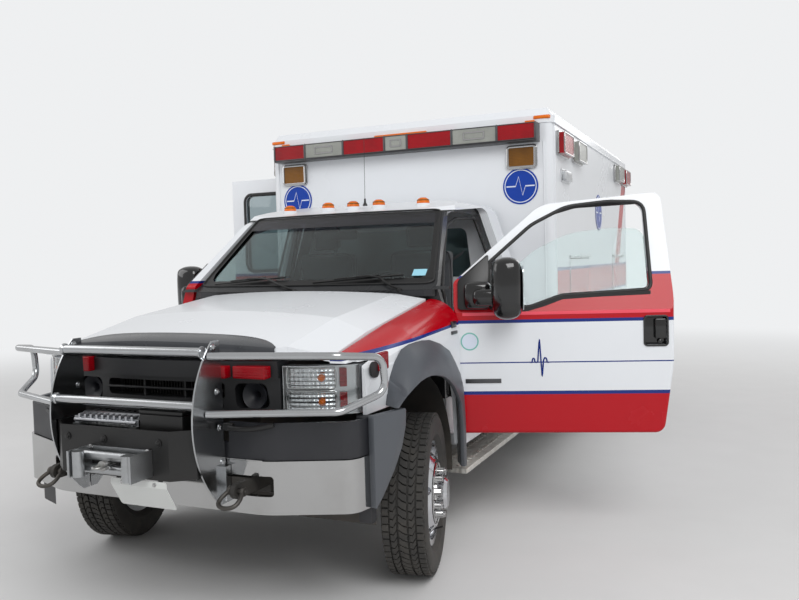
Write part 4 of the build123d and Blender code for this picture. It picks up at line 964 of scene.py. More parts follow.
class AMBULANCE_OT_front_trim(bpy.types.Operator):
    """Horns, radiator fins, grille rail and lamps, guard bolts, shackles, levers and side markers"""
    bl_idname = "ambulance.front_trim"
    bl_label = "Front trim"

    def execute(self, context):
        horn = lathe("horns", [
            (0, 0.07), (0.012, 0.065), (0.016, 0.03), (0.03, 0.012), (0.058, 0.0), (0.062, -0.004),
            (0.064, 0.004), (0.034, 0.02), (0.022, 0.075), (0, 0.09)], at(0.482, -0.735, 1.018),
            Vector((0.0, 1, 0)), 28)
        dress(both_sides(horn), "cover_plastic")
        fins = [block("fin", at(-0.36, -0.64, 0.95), at(0.36, -0.6, 1.1), 0.004)]
        fins += copied(block("fin", at(-0.003, -0.66, 0.95), at(0.003, -0.64, 1.1), 0.001),
            [Matrix.Translation((-0.35 + 0.0175 * i, 0, 0)) for i in range(41)])
        dress(joined("radiator_fins", fins), "frame_black")
        dress(block("grille_rail", at(-0.34, -0.782, 1.034), at(0.34, -0.764, 1.046), 0.005),
            "grille_plastic")
        heads = [
            bolt_head("bolt", at(x, y, z), RIGHT * way)
            for y, z in ((-0.925, 1.255), (-0.905, 1.06), (-0.895, 0.9), (-0.885, 0.745), (-0.885, 0.62))
            for x, way in ((0.406, 1), (0.398, -1))]
        dress_pair("guard_bolts", heads, "polished_steel")
        collars = [lathe("collar",
            [(0.021, 0), (0.028, 0), (0.028, 0.006), (0.023, 0.012), (0.021, 0.012), (0.021, 0)],
            at(0.398, y, z), RIGHT * -1, 20) for y, z in ((-0.985, 1.24), (-1.04, 1.018))]
        dress_pair("guard_collars", collars, "polished_steel")
        bow = tube("bow", [
            at(0.485, -0.95, 0.645), at(0.482, -0.965, 0.64), at(0.47, -1.0, 0.62), at(0.478, -1.03, 0.602),
            at(0.52, -1.042, 0.594), at(0.562, -1.03, 0.602), at(0.57, -1.0, 0.62), at(0.558, -0.965, 0.64),
            at(0.555, -0.95, 0.645)], 0.0095)
        pin = rod("pin", at(0.474, -0.95, 0.645), at(0.572, -0.95, 0.645), 0.0115)
        dress_pair("shackles", [bow, pin] + [lathe("eye", [(0.0, 0), (0.02, 0), (0.02, 0.016), (0.0, 0.016)],
            at(x, -0.95, 0.645), RIGHT, 20, 0.003) for x in (0.48, 0.548)], "cast_metal")
        lever = joined("hood_levers", [tube("lever",
            [at(0.455, -0.9, 0.905), at(0.52, -0.905, 0.9), at(0.6, -0.885, 0.905), at(0.66, -0.86, 0.92)],
            0.012), block("lug", at(0.425, -0.905, 0.89), at(0.475, -0.88, 0.925), 0.006)])
        dress(both_sides(lever), "tray_black", "tray_black")
        dress(both_sides(plate("side_sockets",
            [at(0.964, y, z) for y, z in ((-0.537, 1.086), (-0.537, 1.16), (-0.452, 1.152), (-0.452, 1.078))],
            RIGHT * 0.012, 0.032, 0.004)), "grille_plastic")
        lamps = [
            block("lamp", at(0.415, -0.806, 1.104), at(0.584, -0.75, 1.16), 0.006),
            block("lamp", at(0.262, -0.824, 1.104), at(0.388, -0.77, 1.16), 0.006),
            block("lamp", at(-0.486, -0.812, 1.11), at(-0.428, -0.76, 1.182), 0.006)]
        dress(joined("grille_lamps", lamps), "red_lens")
        dress(both_sides(block("side_markers", at(0.964, -0.47, 1.108), at(0.988, -0.372, 1.192), 0.008)),
            "red_lens")
        dress(plate("bumper_edge",
            [at(x, -0.866, 0.757) for x in (-0.6, 0.6)] + [at(0.6, -0.856, 0.757), at(-0.6, -0.856, 0.757)],
            UP * 0.004), "bright_chrome")
        return {"FINISHED"}


# Left flare's line on the fender and its outer lip: x, y, z of each
FLARE_LINES = [
    ((0.972, -0.36, 0.935), (1.07, -0.46, 0.94)), ((0.974, -0.352, 0.993), (1.08, -0.425, 0.965)),
    ((0.976, -0.345, 1.059), (1.09, -0.385, 0.99)), ((0.979, -0.3, 1.12), (1.1, -0.335, 1.014)),
    ((0.983, -0.215, 1.184), (1.105, -0.27, 1.034)), ((0.987, -0.144, 1.199), (1.106, -0.2, 1.042)),
    ((0.99, -0.062, 1.202), (1.106, -0.12, 1.042)), ((0.993, 0.024, 1.202), (1.106, -0.03, 1.03)),
    ((0.996, 0.126, 1.194), (1.105, 0.06, 1.008)), ((0.999, 0.262, 1.161), (1.095, 0.15, 0.976)),
    ((1.0, 0.403, 1.107), (1.085, 0.245, 0.93)), ((1.0, 0.49, 1.035), (1.076, 0.325, 0.875)),
    ((1.0, 0.54, 0.93), (1.07, 0.39, 0.815)), ((1.0, 0.562, 0.72), (1.066, 0.424, 0.68)),
    ((1.0, 0.566, 0.44), (1.066, 0.425, 0.45))]


class AMBULANCE_OT_flares(bpy.types.Operator):
    """Moulded front flares, fender badges, the white fender noses and the dark bumper ends"""
    bl_idname = "ambulance.flares"
    bl_label = "Flares"

    def execute(self, context):
        root = [at(*first) for first, last in FLARE_LINES]
        lip = [at(*last) for first, last in FLARE_LINES]
        crown = [a * 0.62 + b * 0.38 + RIGHT * 0.024 for a, b in zip(root, lip)]
        crease = [a * 0.26 + b * 0.74 + RIGHT * 0.018 for a, b in zip(root, lip)]
        inner = [b - RIGHT * 0.024 for b in lip]
        under = [a * 0.85 + b * 0.15 - RIGHT * 0.03 for a, b in zip(root, lip)]
        flare = soften(shell("wheel_flares", [root, crown, crease, lip, inner, under]), 0.005, 30)
        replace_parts(dress(both_sides(flare), "flare_plastic"), "fender_flares")
        dress_pair("fender_badges", [block("badge", at(0.99, 0.452, 1.226), at(1.004, 0.52, 1.262), 0.003),
            block("badge", at(0.99, 0.446, 1.188), at(1.003, 0.536, 1.206), 0.002)], "bar_grey")
        nose = plate("fender_noses", [at(0.9605, y, z)
            for y, z in ((-0.566, 0.926), (-0.566, 1.02), (-0.5, 1.105), (-0.29, 1.125), (-0.29, 0.926))],
            RIGHT * -0.01)
        turned(nose, (0.9605, -0.566), radians(-3.45))
        dress(both_sides(nose), "fender_paint")
        end = plate("bumper_ends", [at(0.985, y, z) for y, z in ((-0.606, 0.93), (-0.372, 0.93),
            (-0.378, 0.85), (-0.41, 0.755), (-0.47, 0.66), (-0.555, 0.56), (-0.606, 0.512))], RIGHT * 0.034,
            0.012, 0.009)
        turned(end, (0.985, -0.606), radians(-14.5))
        dress(both_sides(end), "flare_plastic")
        return {"FINISHED"}


def hood_top(x, y, out=0.0):
    """Point over the hood's front part."""
    fall = (0.05 - 0.0276 * (y + 0.83)) * (x / 0.64) ** 2
    return at(x, y, 1.262 + 0.186 * (y + 0.83) - fall + out)


class AMBULANCE_OT_hood_trim(bpy.types.Operator):
    """Dark header on the hood's nose"""
    bl_idname = "ambulance.hood_trim"
    bl_label = "Hood trim"

    def execute(self, context):
        places = [0.605 * (i / 14 - 1) for i in range(29)]
        nose = [-0.824 + 0.076 * (x / 0.61) ** 2 for x in places]
        front = [hood_top(x, y, 0.003) for x, y in zip(places, nose)]
        back = [hood_top(x, y + 0.012 + 0.125 * (1 - (x / 0.605) ** 6), 0.004) for x, y in zip(places, nose)]
        foot = [point - UP * 0.04 for point in front]
        header = joined("hood_header", [strip("top", front, back), strip("face", foot, front)])
        bpy.ops.object.mode_set(mode="EDIT")
        close_up(header)
        modify(header, "SOLIDIFY", thickness=0.005, offset=0.0)
        dress(soften(header, 0.0015), "header_grey", body="hood")
        return {"FINISHED"}


class AMBULANCE_OT_winch_trim(bpy.types.Operator):
    """Winch ribs, cable, control box, clevis, and the bolts of tray and plate"""
    bl_idname = "ambulance.winch_trim"
    bl_label = "Winch trim"

    def execute(self, context):
        rib = block("rib", at(-0.006, -1.052, 0.915), at(0.006, -0.925, 0.958), 0.004)
        ribs = copied(rib, [Matrix.Translation((-0.255 + 0.034 * i, 0, 0)) for i in range(10)])
        ribs.append(rod("shell", at(-0.276, -0.99, 0.928), at(0.062, -0.99, 0.928), 0.034, 24, 0.004))
        ribs.append(rod("tie", at(-0.282, -1.045, 0.93), at(0.074, -1.045, 0.93), 0.011, 14))
        dress(joined("winch_ribs", ribs), "cast_silver")
        turns = [(0.0, 0.0)]
        for i in range(22):
            turns += [(0.063, 0.002 + 0.0125 * i), (0.069, 0.008 + 0.0125 * i)]
        turns += [(0.063, 0.28), (0.0, 0.28)]
        dress(lathe("winch_cable", turns, at(-0.243, -0.985, 0.83), RIGHT, 28), "cable_steel")
        box = joined("winch_control", [block("lid", at(0.086, -1.046, 0.972), at(0.324, -0.9, 0.992), 0.007),
            block("case", at(0.088, -1.044, 0.8), at(0.322, -0.902, 0.972), 0.006)])
        dress(box, "tray_black", "tray_black")
        level = 0.782
        rope = rod("rope", at(0.04, -1.12, level), at(0.04, -1.222, level), 0.0075, 12)
        fork = tube("fork", [
            at(0.022, -1.215, level), at(0.018, -1.24, level), at(0.026, -1.262, level),
            at(0.04, -1.27, level), at(0.054, -1.262, level), at(0.062, -1.24, level),
            at(0.058, -1.215, level)], 0.006)
        dress(joined("cable_end",
            [rope, fork, rod("collar", at(0.04, -1.2, level), at(0.04, -1.226, level), 0.022, 18, 0.003)]),
            "cable_steel")
        dress(joined("tray_bolts", [bolt_head("bolt", at(x, -1.1125, z), BACK * -1, 0.012)
            for x, z in ((-0.262, 0.868), (-0.052, 0.868), (0.058, 0.8), (0.25, 0.868))]), "tray_black",
            "tray_black")
        flange = [
            bolt_head("bolt", at(x, -1.122, z), BACK * -1, 0.009) for x in (-0.12, 0.198)
            for z in (0.733, 0.829)]
        dress(joined("plate_screws",
            flange + [bolt_head("screw", at(x, -1.1172, 0.69), BACK * -1, 0.0065) for x in (0.045, 0.223)]),
            "bright_chrome")
        return {"FINISHED"}


# Windshield's surface: half width, height and distance back at its foot, its lean and its bulge
SHIELD_X, SHIELD_Z, SHIELD_Y, SHIELD_RUN, SHIELD_BULGE = 0.855, 1.44, 0.573, 1.166, 0.11
# Half width and height of its opening at the foot and at the head
SHIELD_LOW, SHIELD_HIGH = (0.835, 1.478), (0.7, 1.932)


def on_shield(x, z, out=0.0):
    """Point on the windshield, moved outwards by a little."""
    y = SHIELD_Y + SHIELD_RUN * (z - SHIELD_Z) - SHIELD_BULGE * (1 - (x / SHIELD_X) ** 2)
    normal = Vector((0, -1, SHIELD_RUN)).normalized()
    return at(x, y, z) + normal * out


def shield_edge(z):
    """Half width of the windshield's opening at a height."""
    share = (z - SHIELD_LOW[1]) / (SHIELD_HIGH[1] - SHIELD_LOW[1])
    return SHIELD_LOW[0] + share * (SHIELD_HIGH[0] - SHIELD_LOW[0])


def shield_line(half, z, out, count):
    """Line across the windshield at a height."""
    return [on_shield(-half + 2 * half * i / count, z, out) for i in range(count + 1)]


def shield_band(name, z0, z1, out, inset=0.0):
    """Thin band across the windshield between two heights."""
    line = shield_line(shield_edge(z0) - inset, z0, out, 18)
    return wall(name, line, Vector((0, SHIELD_RUN * (z1 - z0), z1 - z0)), 0.0012)


class AMBULANCE_OT_windshield(bpy.types.Operator):
    """Windshield edge and shade bands, moulding, sticker, wipers, cowl slots, mirror and visors"""
    bl_idname = "ambulance.windshield"
    bl_label = "Windshield"

    def execute(self, context):
        bands = [shield_band("foot", 1.479, 1.506, 0.0015), shield_band("head", 1.914, 1.93, 0.0015)]
        for flip in (1, -1):
            line = [on_shield(flip * (shield_edge(z) - 0.002), z, 0.0015)
                for z in (1.48, 1.6, 1.72, 1.84, 1.93)]
            bands.append(wall("side", line, Vector((-flip * 0.03, -0.0065, 0)), 0.0012))
            corner = [on_shield(flip * (shield_edge(z) - d), z, 0.0015) for d, z in ((0.0, 1.503),
                (0.085, 1.503), (0.055, 1.52), (0.036, 1.552), (0.03, 1.6), (0.0, 1.6))]
            bands.append(plate("corner", corner, Vector((0, -0.0012, 0.001))))
        dress(joined("windshield_edge", bands), "edge_black", "clear_glass")
        dress(shield_band("windshield_shade", 1.848, 1.914, 0.0022, 0.02), "shade_glass")
        low, high = [shield_line(shield_edge(z), z, 0.004, 10)
            for z in (SHIELD_LOW[1] - 0.004, SHIELD_HIGH[1] + 0.004)]
        left = [on_shield(shield_edge(z), z, 0.004) for z in (1.52, 1.65, 1.78, 1.9)]
        dress(tube("windshield_moulding",
            low + left + high[::-1] + [on_shield(-shield_edge(z), z, 0.004) for z in (1.9, 1.78, 1.65, 1.52)],
            0.0065, cyclic=True, sides=3), "seal_rubber")
        dress(plate("inspection_sticker", [on_shield(x, z, 0.0025)
            for x, z in ((0.69, 1.518), (0.77, 1.518), (0.768, 1.556), (0.688, 1.556))],
            Vector((0, -0.0008, 0.0006))), "sticker_blue")
        half = size("wiper") / 2
        blades, arms = [], []
        for middle, pivot, back in ((0.365, 0.655, 0.519), (-0.42, -0.03, 0.47)):
            line = [on_shield(middle + half * t, 1.497 + 0.018 * t, 0.016) for t in (-1, -0.5, 0, 0.5, 1)]
            blades += [tube("blade", line, 0.006, sides=2),
                tube("frame", [p + Vector((0, -0.006, 0.01)) for p in line[1:4]], 0.0045, sides=2)]
            foot = at(pivot, back, 1.447)
            arms += [tube("arm", [
                foot, foot + Vector((-0.08, 0.0, 0.022)), line[3] + Vector((0, -0.012, 0.014)),
                line[2] + Vector((0, -0.01, 0.012))], 0.0065, sides=3), lathe("cap",
                    [(0, 0), (0.016, 0), (0.015, 0.018), (0.008, 0.026), (0, 0.027)],
                    foot + Vector((0, 0, -0.02)), UP, 18)]
        dress(joined("wipers", blades + arms), "tray_black")
        slots = []
        for i in range(9):
            x = 0.3 + 0.042 * i
            y = 0.572 - 0.075 - 0.03 * (1 - (x / 0.84) ** 2)
            slots.append(block("slot", at(x, y - 0.03, 1.4362), at(x + 0.024, y + 0.012, 1.4385), 0.0008))
        dress_pair("cowl_slots", slots, "edge_black")
        dress(joined("inside_mirror", [block("head", at(-0.13, 1.02, 1.76), at(0.13, 1.045, 1.825), 0.012),
            rod("stem", at(0, 1.045, 1.8), on_shield(0, 1.87, -0.012), 0.007, 10)]), "dark_plastic")
        dress(joined("sun_visors", [
            block("visor", at(x - 0.19, 1.135, 1.895), at(x + 0.19, 1.3, 1.915), 0.009)
            for x in (0.36, -0.36)]), "headlining")
        return {"FINISHED"}


class AMBULANCE_OT_cab_roof(bpy.types.Operator):
    """Roof lamp lenses on their white feet, and the whip antenna"""
    bl_idname = "ambulance.cab_roof"
    bl_label = "Cab roof"

    def execute(self, context):
        feet, lenses = [], []
        for x, y, top in ((0, 1.235, 2.022), (-0.198, 1.235, 2.022), (0.198, 1.235, 2.022),
                (-0.521, 1.25, 2.018), (0.521, 1.25, 2.018)):
            centre = at(x, y, top - 0.034)
            feet.append(lathe("foot", [(0, -0.02), (0.05, -0.02), (0.05, 0.004), (0.046, 0.009), (0, 0.009)],
                centre, UP, 28))
            lenses.append(lathe("lens", [(0.0425, 0.006), (0.0435, 0.012), (0.0425, 0.026), (0.034, 0.04),
                (0.02, 0.048), (0.0, 0.05)], centre, UP, 28))
        dress(joined("roof_lamp_feet", feet), "white_paint")
        dress(joined("roof_lamp_lenses", lenses), "amber_lens")
        base = at(0.085, 1.25, 2.0)
        whip = joined("antenna", [lathe("foot",
            [(0, 0), (0.017, 0), (0.015, 0.01), (0.008, 0.022), (0.006, 0.05), (0, 0.052)], base, UP, 20),
            rod("whip", base + UP * 0.04, base + Vector((-0.004, 0.02, 0.05 + size("whip"))), 0.0016, 8)])
        dress(whip, "tray_black")
        return {"FINISHED"}


# Window outline in the closed door's own plane: distance back, height, how far each corner is eased
WINDOW = [
    (0.792, 1.322, 0.06), (0.792, 1.585, 0.04), (1.042, 1.796, 0.075), (1.245, 1.897, 0.1),
    (1.483, 1.921, 0.09), (1.683, 1.912, 0.13), (1.69, 1.415, 0.08), (1.194, 1.395, 0.035),
    (1.026, 1.335, 0.035)]


def skin_x(z, depth=0.0):
    """Half width of the cab's skin at a height, less a depth."""
    return CAB_HALF - max(0.0, z - CAB_WAIST) * CAB_LEAN - depth


def eased(points):
    """A closed outline with two more points beside each corner, so that a smooth line stays near it."""
    out = []
    for before, here, after in zip(points[-1:] + points[:-1], points, points[1:] + points[:1]):
        spot = Vector(here[:2])
        out += [
            spot + (Vector(before[:2]) - spot).normalized() * here[2], spot,
            spot + (Vector(after[:2]) - spot).normalized() * here[2]]
    return [tuple(p) for p in out]


def door_line(points, depth, grow=0.0):
    """Points on the closed left door, at a depth behind its skin."""
    middle = Vector((sum(p[0] for p in points), sum(p[1] for p in points))) / len(points)
    out = []
    for y, z in points:
        way = (Vector((y, z)) - middle).normalized() * grow
        out.append(at(skin_x(z + way.y, depth), y + way.x, z + way.y))
    return out


def on_both_doors(make, name, finish, slot=None):
    """The same piece on the left door, swung open with it, and mirrored on the closed right door."""
    made = []
    for side_name, left in (("left", True), ("right", False)):
        piece = make()
        piece.name = f"{side_name}_{name}"
        if left:
            turned(piece, DOOR_HINGE, DOOR_OPEN)
        else:
            settle(piece)
            piece.matrix_world = Matrix.Scale(-1, 4, RIGHT) @ piece.matrix_world
            settle(piece)
            bpy.ops.object.mode_set(mode="EDIT")
            close_up(piece)
        made.append(dress(piece, finish, slot, f"{side_name}_door"))
    return made


def pulse_mark():
    """Thin pulse line on the door."""
    line = [
        (1.085, 0.0), (1.105, 0.0), (1.115, 0.022), (1.13, 0.022), (1.14, 0.0), (1.168, 0.0), (1.19, 0.14),
        (1.214, -0.088), (1.232, 0.014), (1.246, 0.026), (1.262, 0.022), (1.272, 0.0), (1.292, 0.0)]
    return tube("pulse", [at(CAB_HALF, 1.01 + (y - 1.085) * 0.52, 1.0105 + z) for y, z in line], 0.0045,
        order=2, sides=1)


class AMBULANCE_OT_door_trim(bpy.types.Operator):
    """Seals, mouldings, handles, hinges, pulse line, mirrors and inner cards of both cab doors"""
    bl_idname = "ambulance.door_trim"
    bl_label = "Cab door trim"

    def execute(self, context):
        seal = size("seal")
        on_both_doors(lambda: tube("s", door_line(eased(WINDOW), 0.002, 0.006), seal, cyclic=True, sides=3),
            "window_seal", "seal_rubber")
        on_both_doors(lambda: tube("s", [at(0.936 if z < 1.3 else skin_x(z, 0.055), y, z)
            for y, z in eased([
                (0.64, 0.66, 0.06), (0.64, 1.45, 0.05), (0.86, 1.66, 0.05), (1.1, 1.85, 0.05),
                (1.3, 1.905, 0.05), (1.735, 1.92, 0.08), (1.765, 1.4, 0.05), (1.765, 1.0, 0.05),
                (1.725, 0.66, 0.06)])], seal, cyclic=True, sides=3), "edge_seal", "seal_rubber")
        belt = [(0.81, 1.318), (1.0, 1.325), (1.1, 1.352), (1.2, 1.388), (1.4, 1.398), (1.69, 1.406)]
        on_both_doors(lambda: wall("s", [at(skin_x(z, -0.003), y, z) for y, z in belt], UP * -0.022, 0.009),
            "belt_moulding", "seal_rubber")

        def handle():
            cup = square_rim(at(1.0, 1.7115, 1.18), BACK, 0.138, 0.176, 0.01, RIGHT * 0.006, 0.022, 0.002)
            bowl = block("bowl", at(0.972, 1.65, 1.1), at(0.976, 1.773, 1.26), 0.001)
            lever = block("lever", at(0.984, 1.705, 1.135), at(1.006, 1.768, 1.25), 0.008)
            lock = lathe("lock", [(0, 0), (0.012, 0), (0.012, 0.004), (0.009, 0.006), (0, 0.006)],
                at(0.99, 1.735, 1.118), RIGHT, 18)
            return joined("s", [cup, bowl, lever, lock])

        on_both_doors(handle, "handle", "gloss_black")
        # A thin strip in lighter pink-red along the door's crease: a painted highlight, the sky's reflection
        # on the crease
        on_both_doors(
            lambda: wall("s", [at(1.0008, y, 1.283) for y in (0.63, 1.2, 1.79)], UP * 0.018, 0.0025),
            "crease", "crease_red")
        on_both_doors(pulse_mark, "pulse_line", "line_blue")
        on_both_doors(lambda: block("s", at(1.0, 0.64, 0.893), at(1.004, 0.845, 0.918), 0.0015),
            "side_moulding", "bar_grey", "dark_plastic")
        on_both_doors(lambda: joined("s",
            [block("hinge", at(0.93, 0.585, z), at(0.972, 0.64, z + 0.07), 0.006) for z in (0.8, 1.2)]),
            "hinges", "white_paint")

        on_both_doors(lambda: plate("s", [at(skin_x(z, -0.001), y, z)
            for y, z in ((0.604, 1.318), (0.604, 1.488), (0.786, 1.64), (0.786, 1.318))], RIGHT * 0.024,
            0.022, 0.008), "mirror_sail", "edge_black")

        def mirror_housing():
            head = pillow("head", at(1.044, 0.796, 1.268), at(1.242, 0.972, 1.616), 0.07)
            swell = pillow("swell", at(0.985, 0.64, 1.322), at(1.06, 0.8, 1.48), 0.036)
            arm = pillow("arm", at(0.99, 0.69, 1.34), at(1.1, 0.88, 1.44), 0.036)
            return joined("s", [head, swell, arm])

        for piece, side_name in zip(on_both_doors(mirror_housing, "mirror_housing", "gloss_black"),
                ("left", "right")):
            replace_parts(piece, f"{side_name}_mirror")

        def mirror_glass():
            face = [at(x, 0.97, z) for x, z in ((1.086, 1.316), (1.076, 1.56), (1.2, 1.57), (1.21, 1.326))]
            return plate("s", face, BACK * 0.004, 0.045)

        on_both_doors(mirror_glass, "mirror_glass", "mirror_bright")

        def card():
            panel = plate("panel", [at(0.905, y, z) for y, z in ((0.7, 0.84), (0.7, 1.295), (1.02, 1.3),
                (1.2, 1.355), (1.71, 1.37), (1.73, 1.0), (1.7, 0.84))], RIGHT * -0.018, 0.03, 0.004)
            rest = block("rest", at(0.815, 1.05, 1.075), at(0.892, 1.56, 1.135), 0.022)
            pocket = block("pocket", at(0.862, 1.0, 0.86), at(0.892, 1.62, 0.97), 0.012)
            pull = tube("pull",
                [at(0.885, 1.1, 1.22), at(0.85, 1.13, 1.225), at(0.85, 1.3, 1.235), at(0.885, 1.33, 1.24)],
                0.013)
            crank = joined("crank", [
                rod("hub", at(0.89, 1.44, 1.0), at(0.868, 1.44, 1.0), 0.022, 20, 0.003),
                rod("arm", at(0.872, 1.44, 1.0), at(0.866, 1.53, 1.03), 0.007, 10),
                rod("knob", at(0.872, 1.53, 1.03), at(0.845, 1.53, 1.03), 0.012, 16, 0.002)])
            speaker = lathe("speaker",
                [(0, 0.006), (0.062, 0.006), (0.074, 0.0), (0.074, -0.004), (0, -0.004)],
                at(0.888, 0.81, 0.95), RIGHT * -1, 32)
            return joined("s", [panel, rest, pocket, pull, crank, speaker])

        on_both_doors(card, "door_card", "dash_grey")
        return {"FINISHED"}


CLOTH_STEPS = 12
# Cab cushions: name, x, y and z ranges
CUSHIONS = [
    ("seat", (0.145, 0.625), (1.135, 1.56), (1.005, 1.13)),
    ("back", (0.15, 0.62), (1.485, 1.605), (1.155, 1.68)),
    ("rest", (0.275, 0.495), (1.505, 1.595), (1.705, 1.855))]


def pad(name, low, high, pull):
    """Crowned pad, swelled as cloth."""
    inner = Vector((1, 1, 1)) * pull * 0.6
    piece = block(name, low + inner, high - inner, 0.02)
    bpy.ops.object.mode_set(mode="EDIT")
    bpy.ops.mesh.select_all(action="SELECT")
    bpy.ops.mesh.subdivide(number_cuts=2)
    bpy.ops.mesh.remove_doubles(threshold=0.0005)
    bpy.ops.object.mode_set(mode="OBJECT")
    modify(piece, "REMESH", mode="VOXEL", voxel_size=0.0095)
    cloth = piece.modifiers.new("Cloth", "CLOTH")
    cloth.settings.use_pressure = True
    cloth.settings.uniform_pressure_force = size("pressure")
    cloth.settings.effector_weights.gravity = 0
    cloth.settings.tension_stiffness = 25
    scene = bpy.context.scene
    before = [v.co.copy() for v in piece.data.vertices]
    for number in range(1, CLOTH_STEPS + 1):
        scene.frame_set(number)
    bpy.context.view_layer.objects.active = piece
    bpy.ops.object.modifier_apply(modifier="Cloth")
    scene.frame_set(1)
    for vertex, spot in zip(piece.data.vertices, before):
        step = vertex.co - spot
        if step.length > pull:
            vertex.co = spot + step.normalized() * pull
    modify(piece, "SMOOTH", factor=0.5, iterations=4)
    return piece


def piping(low, high, up):
    """Sewn welt round a pad: near its top where up is z, or else near its front."""
    if up == "z":
        corners = [Vector((x, y, high.z - 0.018))
            for x, y in (low.xy, (high.x, low.y), high.xy, (low.x, high.y))]
    else:
        corners = [Vector((x, low.y + 0.018, z))
            for x, z in ((low.x, low.z), (high.x, low.z), (high.x, high.z), (low.x, high.z))]
    middle = sum(corners, Vector()) / 4
    line = []
    for here, there in zip(corners, corners[1:] + corners[:1]):
        line += [here.lerp(there, t) for t in (0.08, 0.5, 0.92)]
    return tube("welt", [p + (middle - p).normalized() * 0.012 * 0.3 for p in line], 0.0045, cyclic=True,
        sides=2)


class AMBULANCE_OT_seats(bpy.types.Operator):
    """Cab seat cushions, backs, headrests and the bench pads as swelled cloth, with their welts and belts"""
    bl_idname = "ambulance.seats"
    bl_label = "Seats"

    def execute(self, context):
        pads, welts = [], []
        for name, (x0, x1), (y0, y1), (z0, z1) in CUSHIONS:
            low, high = at(x0, y0, z0), at(x1, y1, z1)
            pads.append(pad(name, low, high, 0.012))
            welts.append(piping(low, high, "z" if name == "seat" else "y"))
        cushions = both_sides(joined("cab_cushions", pads))
        dress(cushions, "seat_cloth", smooth=60)
        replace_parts(cushions, "seat_cushions")
        dress_pair("cab_cushion_welts", welts, "seat_welt")
        bench = [pad("bench", at(-1.14, 3.675, 1.172), at(-0.655, 4.707, 1.245), 0.008),
            pad("bench_back", at(-1.15, 3.675, 1.27), at(-1.092, 4.707, 1.595), 0.006)]
        bench = joined("bench_pads", bench)
        dress(bench, "bench_vinyl", smooth=60)
        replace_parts(bench, "bench_cushions")
        belts = [wall("strap",
            [at(0.63, 1.68, 1.64), at(0.56, 1.48, 1.56), at(0.47, 1.47, 1.3), at(0.3, 1.44, 1.15)],
            Vector((0.03, 0.0, 0.036)), 0.0016),
            block("buckle", at(0.128, 1.43, 1.06), at(0.152, 1.47, 1.16), 0.006)]
        dress_pair("seat_belts", belts, "belt_webbing")
        return {"FINISHED"}


class AMBULANCE_OT_cab_inside(bpy.types.Operator):
    """Dashboard parts, dials, vents, console, column, pedals, floor mat and door opening seals"""
    bl_idname = "ambulance.cab_inside"
    bl_label = "Cab inside"

    def execute(self, context):
        binnacle = plate("binnacle", [at(0.2, y, z)
            for y, z in ((0.77, 1.3), (0.74, 1.425), (0.8, 1.452), (0.885, 1.445), (0.905, 1.3))],
            RIGHT * 0.36, 0.012, 0.008)
        column = rod("column", at(0.38, 0.87, 1.23), at(0.38, 0.985, 1.345), 0.045, 20, 0.008)
        stalk = rod("stalk", at(0.38, 0.955, 1.325), at(0.235, 0.965, 1.35), 0.007, 10)
        lever = rod("lever", at(0.38, 0.95, 1.325), at(0.54, 0.975, 1.375), 0.009, 10)
        stack = block("stack", at(-0.16, 0.862, 1.045), at(0.13, 0.915, 1.355), 0.018)
        box = block("console", at(-0.11, 1.0, 0.818), at(0.11, 1.56, 1.03), 0.02)
        knobs = [rod("knob", at(x, 0.915, 1.1), at(x, 0.935, 1.1), 0.016, 18, 0.003)
            for x in (-0.09, -0.015, 0.06)]
        dress(joined("dash_parts", [binnacle, column, stalk, lever, stack, box] + knobs), "dash_grey",
            "dark_plastic")
        dials = [lathe("dial",
            [(0, 0.002), (0.048, 0.002), (0.052, 0.006), (0.055, 0.006), (0.055, 0), (0, 0)],
            at(x, 0.903, 1.375), Vector((0, 1, 0.1)), 32) for x in (0.31, 0.45)]
        dials += [block("screen", at(-0.13, 0.912, 1.24), at(0.1, 0.919, 1.31), 0.003)]
        dress(joined("dials", dials), "dial_dark")
        fins = []
        for x in (-0.7, -0.28, 0.19, 0.66):
            for i in range(5):
                z = 1.3 + 0.011 * i
                fins.append(block("fin", at(x - 0.055, 0.885 - 0.4 * (z - 1.3), z),
                    at(x + 0.055, 0.905 - 0.4 * (z - 1.3), z + 0.003), 0.0008))
        dress(joined("dash_vents", fins), "tray_black")
        pedals = []
        for x, wide, z in ((0.3, 0.1, 0.985), (0.46, 0.055, 0.965)):
            pedals.append(
                block("pad", at(x - wide / 2, 0.78, z - 0.05), at(x + wide / 2, 0.796, z + 0.03), 0.006))
            pedals.append(rod("arm", at(x, 0.775, z), at(x, 0.7, z + 0.2), 0.008, 10))
        dress(joined("pedals", pedals), "tray_black")
        dress(plate("floor_mat",
            [at(x, y, 0.816) for x, y in ((-0.86, 0.68), (0.86, 0.68), (0.86, 1.95), (-0.86, 1.95))],
            UP * 0.008, 0.05), "mat_rubber")
        opening = [
            (0.66, 0.8, 0.08), (0.66, 1.44, 0.04), (0.88, 1.65, 0.04), (1.1, 1.835, 0.05),
            (1.32, 1.885, 0.05), (1.735, 1.905, 0.08), (1.765, 1.4, 0.05), (1.765, 1.0, 0.05),
            (1.73, 0.8, 0.06)]
        dress(both_sides(tube("opening_seal",
            [at(0.905 if z < 1.32 else skin_x(z, 0.085), y, z) for y, z in eased(opening)], size("seal"),
            cyclic=True, sides=3)), "seal_rubber")
        return {"FINISHED"}


MODULE_FRONT, MODULE_BACK, MODULE_HALF = 2.1, 5.8, 1.211
CEILING = 2.56
BAR_EDGES = [-1.112, -0.82, -0.466, -0.097, 0.097, 0.466, 0.82, 1.112]


